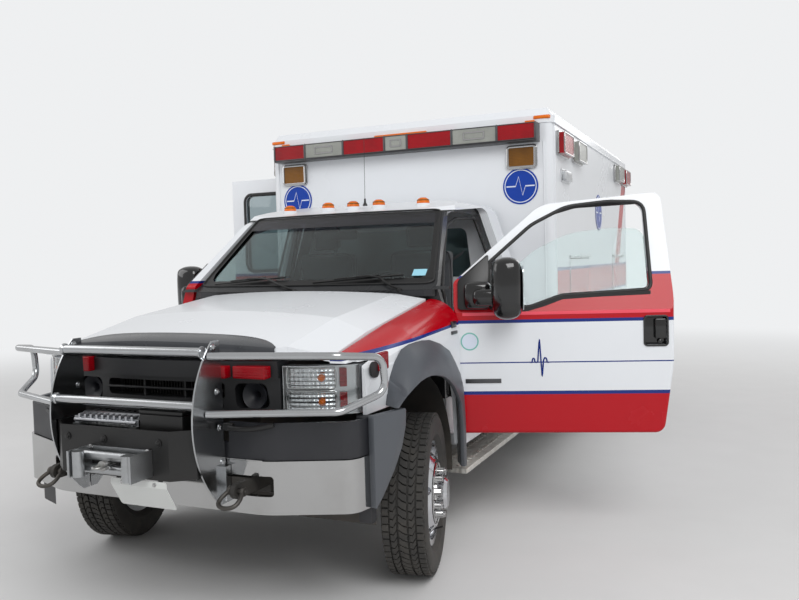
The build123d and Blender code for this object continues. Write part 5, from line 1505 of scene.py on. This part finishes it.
class AMBULANCE_OT_light_bar(bpy.types.Operator):
    """Frames and bulbs of the light bar, rims round the other lamps, and roof markers"""
    bl_idname = "ambulance.light_bar"
    bl_label = "Module lamps"

    def execute(self, context):
        rim = size("bezel")
        front_y = MODULE_FRONT - 0.112
        frames = [square_rim(at((x0 + x1) / 2, front_y + 0.004, 2.5335), RIGHT, x1 - x0 - 0.004, 0.121, 0.007,
            BACK * -0.008, 0.012, 0.002) for x0, x1 in zip(BAR_EDGES, BAR_EDGES[1:])]
        joints = [
            block("cap", at(x - 0.006, front_y - 0.005, 2.47), at(x + 0.006, MODULE_FRONT, 2.597), 0.003)
            for x in BAR_EDGES]
        joints.append(
            block("shelf", at(-1.118, front_y + 0.004, 2.462), at(1.118, MODULE_FRONT, 2.474), 0.003))
        dress(joined("light_bar_frames", frames + joints), "bar_grey")
        bulbs = []
        for i in (1, 3, 5):
            middle = (BAR_EDGES[i] + BAR_EDGES[i + 1]) / 2
            wide = 0.1 if i == 3 else 0.17
            bulbs.append(square_rim(at(middle, front_y - 0.001, 2.534), RIGHT, wide, 0.062, 0.012,
                BACK * -0.002, 0.01))
        dress(joined("light_bar_bulbs", bulbs), "bright_chrome")
        rims = []
        for y, end, x in ((MODULE_FRONT - 0.0225, 2.29, -1), (MODULE_BACK + 0.0225, 2.2, 1)):
            middle = at(0.98, y, end + 0.07)
            rims.append(square_rim(middle, RIGHT, 0.222, 0.166, 0.016, BACK * 0.007 * x, 0.024, 0.003))
            rims.append(square_rim(at(0.98, y - 0.0215 * x, end + 0.07), RIGHT, 0.236, 0.18, 0.026,
                BACK * 0.012 * x, 0.028, 0.003))
        for y, z0, z1, x0, x1 in ((MODULE_BACK + 0.061, 2.44, 2.59, 0.82, 1.0),
                (MODULE_BACK + 0.041, 1.12, 1.26, 0.86, 1.06)):
            rims.append(square_rim(at((x0 + x1) / 2, y - 0.01, (z0 + z1) / 2), RIGHT, x1 - x0 + 0.02,
                z1 - z0 + 0.02, rim, BACK * 0.011, 0.02, 0.003))
        dress_pair("end_lamp_rims", rims, "bright_chrome")
        sides = []
        for y, left, right in ((2.23, 2.385, 2.385), (2.78, 2.385, 2.437), (4.95, 2.405, 2.405),
                (5.44, 2.405, 2.405)):
            for x, z, way in ((1.273, left, 1), (-1.273, right, -1)):
                middle = at(x - way * 0.006, y + 0.165, z + 0.0775)
                sides.append(square_rim(middle, BACK, 0.338, 0.163, rim, RIGHT * way * 0.01, 0.02, 0.003))
                sides.append(square_rim(middle - RIGHT * way * 0.055, BACK, 0.36, 0.185, 0.03,
                    RIGHT * way * 0.022, 0.026, 0.004))
        dress(joined("side_lamp_rims", sides), "bright_chrome")
        small = [block("marker", at(x, MODULE_FRONT - 0.026, 2.603),
            at(x + 0.075, MODULE_FRONT - 0.007, 2.622), 0.006) for x in (-1.095, 1.01)]
        small.append(block("marker", at(-0.225, MODULE_FRONT - 0.026, 2.603),
            at(0.225, MODULE_FRONT - 0.007, 2.622), 0.006))
        for x in (-1.135, 1.135):
            small.append(block("marker", at(x - 0.062, MODULE_FRONT - 0.016, 2.628),
                at(x + 0.062, MODULE_FRONT + 0.02, 2.654), 0.008))
        dress(joined("roof_markers", small), "amber_lens")
        small = [block("marker", at(x - 0.06, MODULE_BACK - 0.02, 2.628),
            at(x + 0.06, MODULE_BACK + 0.016, 2.652), 0.008) for x in (-1.135, -0.22, 0.0, 0.22, 1.135)]
        dress(joined("rear_roof_markers", small), "red_lens")
        return {"FINISHED"}


def emblem(name, centre, along, up, out, radius, body="chassis"):
    """Round emblem: a coloured disc with a pale ring and a pale pulse line."""
    dress(lathe(name, [(0, 0), (radius, 0), (radius, 0.0015), (0, 0.0015)], centre, out, 48), "emblem_blue",
        body=body)
    lift = Vector(out) * 0.002
    ring = lathe("ring", [
        (0.86 * radius, 0), (0.91 * radius, 0), (0.91 * radius, 0.001), (0.86 * radius, 0.001),
        (0.86 * radius, 0)], centre + lift, out, 48)
    wide = 0.035 * radius
    shape = [(-0.8, 0.0), (-0.28, 0.0), (-0.1, 0.52), (0.12, -0.5), (0.28, 0.0), (0.8, 0.0)]
    spots = [Vector(centre) + lift + Vector(along) * (x * radius) + Vector(up) * (z * radius - wide)
        for x, z in shape]
    dress(joined(name + "_mark", [ring, wall("line", spots, Vector(up) * (2 * wide), 0.001)]), "mark_white",
        body=body)


class AMBULANCE_OT_emblems(bpy.types.Operator):
    """Round emblems on the module and on the driver's door"""
    bl_idname = "ambulance.emblems"
    bl_label = "Emblems"

    def execute(self, context):
        for side_name, x in (("left", 0.965), ("right", -0.965)):
            emblem(f"{side_name}_front_emblem", at(x, MODULE_FRONT - 0.0018, 2.145), RIGHT, UP, BACK * -1,
                0.135)
            emblem(f"{side_name}_rear_emblem", at(0.62 * x, MODULE_BACK + 0.0018, 1.37), RIGHT * -1, UP, BACK,
                0.1, f"rear_{side_name}_door")
        emblem("left_side_emblem", at(MODULE_HALF + 0.0018, 3.98, 2.02), BACK, UP, RIGHT, 0.17)
        emblem("right_side_emblem", at(-MODULE_HALF - 0.0018, 4.6, 2.02), BACK * -1, UP, RIGHT * -1, 0.17)
        disc = lathe("door_roundel", [(0, 0), (0.052, 0), (0.052, 0.0008), (0, 0.0008)],
            at(1.0005, 0.668, 1.135), RIGHT, 40)
        turned(disc, DOOR_HINGE, DOOR_OPEN)
        dress(disc, "roundel_green", body="left_door")
        middle = lathe("door_roundel_middle", [(0, 0.0008), (0.044, 0.0008), (0.044, 0.0014), (0, 0.0014)],
            at(1.0005, 0.668, 1.135), RIGHT, 40)
        turned(middle, DOOR_HINGE, DOOR_OPEN)
        dress(middle, "mark_white", body="left_door")
        return {"FINISHED"}


# Locker doors: side and y range of each, then the heights that they share
WALL_DOORS = [(1, 2.64, 3.46), (1, 4.77, 5.52), (-1, 4.77, 5.52)]
LOCKER_Z = (0.64, 1.59)


class AMBULANCE_OT_module_trim(bpy.types.Operator):
    """Corner strips, drip and rub rails, wheel arches and their liners, vent, fuel door and scene lamp"""
    bl_idname = "ambulance.module_trim"
    bl_label = "Module trim"

    def execute(self, context):
        strips = [block("strip", at(1.209, y - 0.005, 0.48), at(1.2155, y + 0.005, 2.598), 0.002)
            for y in (MODULE_FRONT + 0.066, MODULE_BACK - 0.066)]
        strips += [block("strip", at(1.14, y - 0.003, 0.48), at(1.149, y + 0.003, 2.47), 0.002)
            for y in (MODULE_FRONT - 0.0035, MODULE_BACK + 0.0035)]
        strips.append(block("edge", at(1.205, MODULE_FRONT + 0.02, 2.596),
            at(1.2225, MODULE_BACK - 0.02, 2.606), 0.003))
        dress_pair("corner_strips", strips, "white_paint")
        dress_pair("rub_rails", [block("rail", at(1.2, y0, 0.47), at(1.222, y1, 0.52), 0.006)
            for y0, y1 in ((2.16, 3.7), (4.682, 5.74))], "tread_plate")
        dress(both_sides(wall("arch", arch_line(1.214, WHEELBASE, TYRE_RADIUS, 0.478, 0.478, -4, 188, 24),
            RIGHT * 0.008, 0.026)), "arch_steel")
        dress(both_sides(wall("wheel_well_liners",
            arch_line(0.662, WHEELBASE, TYRE_RADIUS, 0.488, 0.48, -2, 184, 24), RIGHT * 0.545, 0.004)),
            "frame_black")
        rails = [block("drip", at(way * MODULE_HALF, y0 - 0.02, LOCKER_Z[1] + 0.012),
            at(way * 1.232, y1 + 0.02, LOCKER_Z[1] + 0.03), 0.004) for way, y0, y1 in WALL_DOORS]
        rails.append(block("drip", at(-1.232, 2.72, 2.442), at(-MODULE_HALF, 3.63, 2.46), 0.004))
        dress(joined("drip_rails", rails), "arch_steel")
        lamp = joined("scene_lamps", [plate("hood",
            [at(MODULE_HALF, y, z) for y, z in ((2.36, 2.285), (2.6, 2.285), (2.66, 2.185), (2.36, 2.185))],
            RIGHT * 0.008, 0.01, 0.002), plate("box",
                [at(1.219, y, z) for y, z in ((2.375, 2.27), (2.575, 2.27), (2.61, 2.195), (2.375, 2.195))],
                RIGHT * 0.032, 0.012, 0.004)])
        dress(lamp, "lamp_silver")
        door = joined("fuel_door", [
            square_rim(at(1.2105, 3.62, 1.02), BACK, 0.2, 0.2, 0.012, RIGHT * 0.006, 0.02, 0.002),
            block("lid", at(MODULE_HALF, 3.535, 0.935), at(1.2145, 3.705, 1.105), 0.003)])
        dress(door, "white_paint")
        vents = [
            block("slat", at(-1.219, 2.3, 1.86 + 0.018 * i), at(-MODULE_HALF, 2.56, 1.868 + 0.018 * i), 0.002)
            for i in range(9)]
        vents.append(
            square_rim(at(-MODULE_HALF, 2.43, 1.936), BACK, 0.3, 0.2, 0.012, RIGHT * -0.01, 0.02, 0.002))
        dress(joined("side_vent", vents), "arch_steel")
        return {"FINISHED"}


def paddle(way, y, z):
    """Paddle latch in a locker door's recess."""
    x = way * 1.192
    cup = square_rim(at(way * MODULE_HALF, y, z), BACK, 0.128, 0.128, 0.01, RIGHT * way * 0.003, 0.014, 0.001)
    lever = plate("lever", [
        at(x, y - 0.045, z + 0.042), at(x, y + 0.045, z + 0.042), at(x, y + 0.045, z - 0.02),
        at(x, y - 0.045, z - 0.02)], RIGHT * way * 0.013, 0.008, 0.002)
    lock = lathe("lock", [(0, 0), (0.011, 0), (0.011, 0.005), (0, 0.006)], at(x, y, z - 0.038), RIGHT * way,
        18)
    return [cup, lever, lock]


class AMBULANCE_OT_module_doors(bpy.types.Operator):
    """Seals, hinges, latches and window frames of the lockers, the side door and the rear doors"""
    bl_idname = "ambulance.module_doors"
    bl_label = "Module door trim"

    def execute(self, context):
        names = ["left_front_locker_door", "left_rear_locker_door", "right_rear_locker_door"]
        for name, (way, y0, y1) in zip(names, WALL_DOORS):
            dress(joined(name + "_latch", paddle(way, y1 - 0.095, 1.135)), "bright_chrome", body=name)
            dress(rod(name + "_hinge",
                *[at(way * 1.2135, y0 - 0.002, z) for z in (LOCKER_Z[0] + 0.02, LOCKER_Z[1] - 0.02)], 0.004,
                10), "arch_steel", body=name)
            middle = at(way * 1.17, (y0 + y1) / 2, sum(LOCKER_Z) / 2)
            dress(joined(name + "_seal", [square_rim(middle, BACK, y1 - y0 - 0.01,
                LOCKER_Z[1] - LOCKER_Z[0] - 0.01, 0.018, RIGHT * way * -0.008, 0.01, 0.002)]), "seal_rubber",
                body=name)
        y0 = 2.74

        def leaf(pieces, name, finish, slot=None):
            piece = joined(name, pieces)
            turned(piece, SIDE_HINGE, SIDE_OPEN)
            dress(piece, finish, slot, "side_door")

        window = box_outline(at(-1.2115, y0 + 0.51, 1.9225), BACK, UP, 0.46, 0.765)
        inner = box_outline(at(-1.1645, y0 + 0.51, 1.9225), BACK, UP, 0.46, 0.765)
        leaf([bezel("frame", window, 0.026, RIGHT * -0.008, 0.085, 0.002),
            bezel("frame", inner, 0.03, RIGHT * 0.008, 0.085, 0.002)], "side_door_frame", "seal_rubber")
        leaf([square_rim(at(-1.168, y0 + 0.435, 1.525), BACK, 0.862, 1.802, 0.02, RIGHT * 0.01, 0.01, 0.003)],
            "side_door_seal", "seal_rubber")
        leaf([block("card", at(-1.166, y0 + 0.06, 0.7), at(-1.16, y0 + 0.81, 1.46), 0.004),
            tube("grab", [
                at(-1.165, y0 + 0.16, 1.3), at(-1.115, y0 + 0.17, 1.3), at(-1.115, y0 + 0.7, 1.42),
                at(-1.165, y0 + 0.71, 1.42)], 0.014)], "side_door_lining", "arch_steel", "interior_panel")
        leaf([square_rim(at(-MODULE_HALF, y0 + 0.775, 1.22), BACK, 0.13, 0.19, 0.012, RIGHT * -0.006, 0.02,
            0.002), block("lever", at(-1.224, y0 + 0.745, 1.18), at(-MODULE_HALF, y0 + 0.805, 1.29), 0.005)],
            "side_door_handle", "bright_chrome")
        leaf([rod("hinge", at(-1.2165, y0 - 0.003, z), at(-1.2165, y0 - 0.003, z + 0.5), 0.006, 12)
            for z in (0.66, 1.27, 1.88)], "side_door_hinge_line", "arch_steel")
        for side_name, way in (("left", 1), ("right", -1)):
            body = f"rear_{side_name}_door"
            middle = at(way * 0.38, MODULE_BACK + 0.0005, 1.9425)
            frames = [square_rim(middle, RIGHT, 0.496, 0.727, 0.024, BACK * 0.008, 0.085, 0.002),
                square_rim(middle - BACK * 0.0465, RIGHT, 0.496, 0.727, 0.024, BACK * -0.007, 0.085, 0.002)]
            dress(joined(body + "_frame", frames), "seal_rubber", body=body)
            metal = [square_rim(at(way * 0.075, MODULE_BACK + 0.0005, 1.36), RIGHT, 0.115, 0.17, 0.012,
                BACK * 0.006, 0.02, 0.002), block("lever", at(way * 0.075 - 0.028, MODULE_BACK, 1.32),
                    at(way * 0.075 + 0.028, MODULE_BACK + 0.014, 1.43), 0.005)]
            for z in (1.0, 1.6, 2.22):
                metal.append(block("hinge", at(way * 0.7, MODULE_BACK + 0.0005, z),
                    at(way * 0.757, MODULE_BACK + 0.008, z + 0.1), 0.003))
            metal.append(tube("grab", [
                at(way * 0.12, MODULE_BACK - 0.048, 1.25), at(way * 0.12, MODULE_BACK - 0.09, 1.26),
                at(way * 0.6, MODULE_BACK - 0.09, 1.4), at(way * 0.6, MODULE_BACK - 0.048, 1.41)], 0.013))
            dress(joined(body + "_metal", metal), "bright_chrome", body=body)
            dress(block(body + "_lining", at(way * 0.07, MODULE_BACK - 0.0505, 0.9),
                at(way * 0.69, MODULE_BACK - 0.0465, 1.5), 0.002), "arch_steel", "interior_panel", body)
            dress(block(body + "_stay", at(way * 0.1, MODULE_BACK - 0.062, 0.9),
                at(way * 0.34, MODULE_BACK - 0.0465, 0.93), 0.004), "frame_black", body=body)
        return {"FINISHED"}


class AMBULANCE_OT_rear_trim(bpy.types.Operator):
    """Kick plate, step ribs, tail lamps, blank plate, grab bars and mudflaps"""
    bl_idname = "ambulance.rear_trim"
    bl_label = "Rear trim"

    def execute(self, context):
        dress(block("kick_plate", at(-1.14, MODULE_BACK + 0.0005, 0.55), at(1.14, MODULE_BACK + 0.004, 0.845),
            0.0015), "tread_plate")
        dress(joined("step_ribs", [block("rib", at(-1.13, MODULE_BACK + 0.022 + 0.03 * i, 0.5005),
            at(1.13, MODULE_BACK + 0.034 + 0.03 * i, 0.505), 0.0015) for i in range(7)]), "tread_plate")
        dome = [(0, 0.018), (0.04, 0.016), (0.052, 0.008), (0.054, 0), (0, 0)]
        ring = [(0.054, 0), (0.064, 0), (0.062, 0.008), (0.054, 0.01), (0.054, 0)]
        centres = [at(x, MODULE_BACK + 0.0045, 0.69) for x in (0.965, 0.815, 0.665)]
        reds = [lathe("lamp", dome, centre, BACK, 32) for centre in centres[:2]]
        rims = [lathe("rim", ring, centre, BACK, 32) for centre in centres]
        amber = lathe("rear_turn_lamps", dome, centres[2], BACK, 32)
        dress_pair("tail_lamps", reds, "red_lens")
        dress_pair("tail_lamp_rims", rims, "bright_chrome")
        dress(both_sides(amber), "amber_lens")
        dress(plate("rear_plate", [at(x, MODULE_BACK + 0.006, z)
            for x, z in ((-0.152, 0.62), (0.152, 0.62), (0.152, 0.772), (-0.152, 0.772))], BACK * 0.003,
            0.012), "plate_paint")
        bars = [tube("bar", [at(0.905, MODULE_BACK + back, z)
            for back, z in ((0.002, 1.36), (0.06, 1.37), (0.06, 2.08), (0.002, 2.09))], 0.014)]
        bars += [lathe("foot", [(0, 0), (0.028, 0), (0.026, 0.006), (0, 0.008)], at(0.905, MODULE_BACK, z),
            BACK, 24) for z in (1.36, 2.09)]
        dress_pair("rear_grab_bars", bars, "polished_steel")
        dress(both_sides(plate("mudflaps",
            [at(x, 4.735, z) for x, z in ((0.7, 0.18), (1.18, 0.18), (1.18, 0.6), (0.7, 0.6))], BACK * 0.008,
            0.02)), "tyre_rubber")
        return {"FINISHED"}


class AMBULANCE_OT_module_inside(bpy.types.Operator):
    """Linings, ceiling lamps and rail, cupboards and stretcher tracks"""
    bl_idname = "ambulance.module_inside"
    bl_label = "Module inside"

    def execute(self, context):
        ceiling = [block("ceiling", at(-1.158, MODULE_FRONT + 0.055, CEILING),
            at(1.158, MODULE_BACK - 0.055, 2.585), 0.004)]
        ceiling += [
            block("lining", at(1.15, MODULE_FRONT + 0.055, 1.6), at(1.16, MODULE_BACK - 0.055, CEILING),
                0.003),
            block("lining", at(-1.16, 3.64, 0.97), at(-1.156, MODULE_BACK - 0.055, CEILING), 0.002),
            block("lining", at(-1.15, MODULE_FRONT + 0.051, 0.86), at(1.15, MODULE_FRONT + 0.057, CEILING),
                0.002)]
        dress(joined("module_lining", ceiling), "interior_panel")
        lamps = [
            lathe("lamp", [(0, 0), (0.085, 0), (0.095, -0.01), (0.08, -0.02), (0, -0.024)], at(x, y, CEILING),
                UP, 32) for x in (-0.45, 0.45) for y in (2.8, 3.7, 4.6)]
        dress(joined("ceiling_lamps", lamps), "lamp_silver")
        dress(tube("ceiling_rail",
            [at(0, 2.6, CEILING), at(0, 2.61, 2.5), at(0, 5.2, 2.5), at(0, 5.21, CEILING)], 0.015),
            "polished_steel")
        cupboards = []
        for y0, y1 in ((2.22, 3.05), (3.07, 3.9), (3.92, 4.75), (4.77, 5.6)):
            cupboards.append(block("body", at(0.8, y0, 1.98), at(1.149, y1, 2.5), 0.004))
            cupboards.append(block("door", at(0.79, y0 + 0.02, 2.0), at(0.8, y0 + 0.405, 2.48), 0.003))
            cupboards.append(block("door", at(0.79, y0 + 0.415, 2.0), at(0.8, y1 - 0.02, 2.48), 0.003))
        cupboards.append(block("desk", at(0.7, 3.56, 1.0), at(1.149, 4.72, 1.5), 0.006))
        cupboards.append(block("top", at(0.68, 3.56 - 0.01, 1.5), at(1.149, 4.72 + 0.01, 1.53), 0.006))
        dress(joined("cupboards", cupboards), "laminate")
        dress(joined("cupboard_pulls", [
            block("pull", at(0.778, y - 0.05, 2.03), at(0.79, y + 0.05, 2.045), 0.004)
            for y in (2.55, 3.4, 4.25, 5.1)]), "bright_chrome")
        track = [
            block("track", at(-0.3, 2.95, 0.851), at(-0.24, 4.95, 0.862), 0.003),
            block("track", at(0.24, 2.95, 0.851), at(0.3, 4.95, 0.862), 0.003),
            block("post", at(-0.05, 5.28, 0.851), at(0.05, 5.36, 0.93), 0.01)]
        dress(joined("stretcher_tracks", track), "polished_steel")
        return {"FINISHED"}


class AMBULANCE_OT_running_gear(bpy.types.Operator):
    """Step treads, shock absorbers, steering links, clamps, tail pipe, liners and brake discs"""
    bl_idname = "ambulance.running_gear"
    bl_label = "Running gear and steps"

    def execute(self, context):
        places = [
            Matrix.Translation((0.105 * i, 0.058 * j + (0.029 if i else 0), 0)) for i in range(2)
            for j in range(26)]
        dimple = lathe("dimple", [(0.01, 0), (0.017, 0), (0.013, 0.004), (0.01, 0.0035), (0.01, 0)],
            at(0.868, 0.56, 0.4102), UP, 10)
        treads = copied(dimple, places)
        treads += [block("edge", at(1.034, 0.524, 0.384), at(1.0455, 2.048, 0.4135), 0.003),
            block("edge", at(0.8, 0.519, 0.384), at(1.044, 0.5225, 0.413), 0.002)]
        dress_pair("step_treads", treads, "tread_plate")
        shocks = []
        for low, high in ((at(0.6, -0.14, 0.4), at(0.5, -0.24, 0.66)),
                (at(0.62, 4.1, 0.42), at(0.46, 3.86, 0.74))):
            half = low.lerp(high, 0.5)
            shocks += [rod("tube", low, half, 0.032, 20, 0.003), rod("rod", half, high, 0.04, 20, 0.003)]
        dress_pair("shock_absorbers", shocks, "frame_black")
        links = [rod("drag", at(-0.45, 0.22, 0.36), at(0.46, 0.22, 0.36), 0.018, 14),
            rod("damper", at(-0.2, 0.2, 0.405), at(0.2, 0.2, 0.405), 0.026, 18, 0.003)]
        for x in (-0.45, 0.46):
            links.append(lathe("joint", [(0, -0.03), (0.026, -0.03), (0.03, 0), (0.022, 0.03), (0, 0.03)],
                at(x, 0.22, 0.36), UP, 18))
        dress(joined("steering_links", links), "cast_metal")
        shaft = [lathe("joint",
            [(0, 0), (0.062, 0), (0.062, 0.03), (0.04, 0.05), (0.058, 0.08), (0.058, 0.1), (0, 0.1)],
            at(0, 1.0, 0.6), Vector((0, 3.0, -0.15)), 20)]
        for y in (2.65, 3.15):
            shaft.append(square_rim(at(0.59, y, 0.585), RIGHT, 0.31, 0.32, 0.007, BACK * 0.035))
        for y in (-0.09, 0.09, 4.101, 4.281):
            for x in (0.39, 0.51) if y > 1 else (0.397,):
                shaft.append(
                    block("clamp", at(x - 0.046, y - 0.006, 0.4), at(x + 0.046, y + 0.006, 0.58), 0.003))
        dress(joined("clamps", shaft), "cast_metal")
        dress(tube("tail_pipe", [
            at(-0.56, 3.55, 0.52), at(-0.58, 3.7, 0.52), at(-0.68, 3.8, 0.44), at(-0.9, 3.62, 0.4),
            at(-1.16, 3.58, 0.4)], 0.036), "cast_metal")
        dress(both_sides(wall("front_liners", arch_line(0.56, -0.02, 0.47, 0.505, 0.56, -6, 192, 16),
            RIGHT * 0.41, 0.004)), "frame_black")
        for body in WHEELS:
            disc = lathe("disc",
                [(0.06, -0.03), (0.175, -0.03), (0.175, -0.005), (0.06, -0.005), (0.06, -0.03)],
                Vector((0.02, 0, 0)), RIGHT, 40)
            disc = copied(disc, [wheel_frame(body)])[0]
            disc.name = body + "_brake"
            dress(disc, "cast_metal", body=body)
        return {"FINISHED"}


# Stage

CAMERA_SPOT = (2.532, -3.703, 1.603)
CAMERA_YAW = 0.4188
CAMERA_DIP = 0.0479
CAMERA_ROLL = -0.0274
CAMERA_LENS = 35.595
FLOOR_HALF = 90


def camera_matrix():
    """Camera's place and aim: yaw about the vertical, a slight dip and a slight roll."""
    aim = Vector((-sin(CAMERA_YAW) * cos(CAMERA_DIP), cos(CAMERA_YAW) * cos(CAMERA_DIP), -sin(CAMERA_DIP)))
    level = Vector((cos(CAMERA_YAW), sin(CAMERA_YAW), 0))
    rise = level.cross(aim)
    across = level * cos(CAMERA_ROLL) + rise * sin(CAMERA_ROLL)
    rise = rise * cos(CAMERA_ROLL) - level * sin(CAMERA_ROLL)
    turn = Matrix((across, rise, -aim)).transposed().to_4x4()
    return Matrix.Translation(at(*CAMERA_SPOT)) @ turn


def pale_world(tone, strength, backdrop):
    """Even light from all round, shown paler where the camera or a reflection looks past the floor."""
    world = bpy.data.worlds.new("studio")
    bpy.context.scene.world = world
    world.use_nodes = True
    tree = world.node_tree
    tree.nodes.clear()
    path = tree.nodes.new("ShaderNodeLightPath")
    seen = math_node(tree, "MAXIMUM", path.outputs["Is Camera Ray"], path.outputs["Is Transmission Ray"])
    light = add_node(tree, "ShaderNodeBackground", {"Color": tone, "Strength": strength})
    shown = add_node(tree, "ShaderNodeBackground", {"Color": backdrop, "Strength": 1.0})
    mix = add_node(tree, "ShaderNodeMixShader", {0: seen, 1: light.outputs[0], 2: shown.outputs[0]})
    output = tree.nodes.new("ShaderNodeOutputWorld")
    tree.links.new(mix.outputs[0], output.inputs["Surface"])


def floor_material(backdrop):
    """Pale floor that keeps shadows near the vehicle and fades to the backdrop far away."""
    made, tree, shader, place = empty_material("studio_floor", {"Roughness": 0.9, "Specular IOR Level": 0.1})
    tone = add_node(tree, "ShaderNodeTexNoise", {"Vector": place, "Scale": 3.0, "Detail": 4.0}).outputs["Fac"]
    tree.links.new(mixed(tree, tone, (0.66, 0.66, 0.66, 1), (0.7, 0.7, 0.7, 1)), shader.inputs["Base Color"])
    far = add_node(tree, "ShaderNodeVectorMath", {0: place}, operation="LENGTH").outputs["Value"]
    fade = add_node(tree, "ShaderNodeMapRange", {0: far, 1: 4.5, 2: 13.0},
        interpolation_type="SMOOTHSTEP").outputs[0]
    glow = add_node(tree, "ShaderNodeEmission", {"Color": backdrop, "Strength": 1.0})
    mix = add_node(tree, "ShaderNodeMixShader", {0: fade, 1: shader.outputs[0], 2: glow.outputs[0]})
    output = [n for n in tree.nodes if n.type == "OUTPUT_MATERIAL"][0]
    tree.links.new(mix.outputs[0], output.inputs["Surface"])
    return made


class AMBULANCE_OT_stage(bpy.types.Operator):
    """Set up the floor, the soft lamps and the camera"""
    bl_idname = "ambulance.stage"
    bl_label = "Stage"

    def execute(self, context):
        backdrop = (0.86, 0.87, 0.88, 1)
        pale_world((1.0, 1.0, 1.0, 1), 0.62, backdrop)
        corners = [Vector((x, y, 0)) for x, y in ((-FLOOR_HALF, -FLOOR_HALF), (FLOOR_HALF, -FLOOR_HALF),
            (FLOOR_HALF, FLOOR_HALF), (-FLOOR_HALF, FLOOR_HALF))]
        floor = start("floor", corners[0])
        trace(corners)
        bpy.ops.mesh.edge_face_add()
        bpy.ops.object.mode_set(mode="OBJECT")
        settle(floor)
        floor.data.materials.append(floor_material(backdrop))
        for name, spot, wide, power in (("key", (5.5, -7.0, 7.0), 5.0, 420),
                ("fill", (-6.5, -4.0, 5.0), 5.0, 130), ("back", (3.0, 8.0, 6.0), 5.0, 150)):
            bpy.ops.object.light_add(type="AREA", location=spot)
            lamp = context.object
            lamp.name = name
            lamp.data.size = wide
            lamp.data.energy = power
            lamp.rotation_euler = (Vector((0, -0.5, 1.2)) - Vector(spot)).to_track_quat("-Z", "Y").to_euler()
        bpy.ops.object.camera_add()
        camera = context.object
        camera.matrix_world = camera_matrix()
        camera.data.lens = CAMERA_LENS
        camera.data.sensor_width = 36.0
        camera.data.sensor_fit = "HORIZONTAL"
        context.scene.camera = camera
        context.scene.view_settings.view_transform = "Standard"
        return {"FINISHED"}


PIECES = [
    AMBULANCE_OT_solids, AMBULANCE_OT_tyres, AMBULANCE_OT_wheel_trim, AMBULANCE_OT_headlamps,
    AMBULANCE_OT_front_trim, AMBULANCE_OT_flares, AMBULANCE_OT_hood_trim, AMBULANCE_OT_winch_trim,
    AMBULANCE_OT_windshield, AMBULANCE_OT_cab_roof, AMBULANCE_OT_door_trim, AMBULANCE_OT_seats,
    AMBULANCE_OT_cab_inside, AMBULANCE_OT_light_bar, AMBULANCE_OT_emblems, AMBULANCE_OT_module_trim,
    AMBULANCE_OT_module_doors, AMBULANCE_OT_rear_trim, AMBULANCE_OT_module_inside, AMBULANCE_OT_running_gear,
    AMBULANCE_OT_stage]


class AMBULANCE_PT_panel(bpy.types.Panel):
    """Buttons for every group of pieces"""
    bl_idname = "AMBULANCE_PT_panel"
    bl_label = "Ambulance"
    bl_space_type = "VIEW_3D"
    bl_region_type = "UI"
    bl_category = "Ambulance"

    def draw(self, context):
        for owner in (context.scene.ambulance_sizes, context.scene.ambulance_colours):
            box = self.layout.box()
            for name in owner.__annotations__:
                box.prop(owner, name)
        for item in PIECES:
            self.layout.operator(item.bl_idname)


CLASSES = [AmbulanceColours, AmbulanceSizes, *PIECES, AMBULANCE_PT_panel]


def register():
    """Register the classes and hang the two groups of choices on the scene."""
    for item in CLASSES:
        bpy.utils.register_class(item)
    bpy.types.Scene.ambulance_colours = bpy.props.PointerProperty(type=AmbulanceColours)
    bpy.types.Scene.ambulance_sizes = bpy.props.PointerProperty(type=AmbulanceSizes)


def unregister():
    """Take back what register did."""
    del bpy.types.Scene.ambulance_sizes
    del bpy.types.Scene.ambulance_colours
    for item in reversed(CLASSES):
        bpy.utils.unregister_class(item)


def main():
    """Build every piece."""
    register()
    build_band_group()
    build_rib_group()
    build_worked_group()
    bpy.ops.ambulance.solids()
    bpy.ops.ambulance.tyres()
    bpy.ops.ambulance.wheel_trim()
    bpy.ops.ambulance.headlamps()
    bpy.ops.ambulance.front_trim()
    bpy.ops.ambulance.flares()
    bpy.ops.ambulance.hood_trim()
    bpy.ops.ambulance.winch_trim()
    bpy.ops.ambulance.windshield()
    bpy.ops.ambulance.cab_roof()
    bpy.ops.ambulance.door_trim()
    bpy.ops.ambulance.seats()
    bpy.ops.ambulance.cab_inside()
    bpy.ops.ambulance.light_bar()
    bpy.ops.ambulance.emblems()
    bpy.ops.ambulance.module_trim()
    bpy.ops.ambulance.module_doors()
    bpy.ops.ambulance.rear_trim()
    bpy.ops.ambulance.module_inside()
    bpy.ops.ambulance.running_gear()
    bpy.ops.ambulance.stage()


if __name__ == "__main__":
    main()
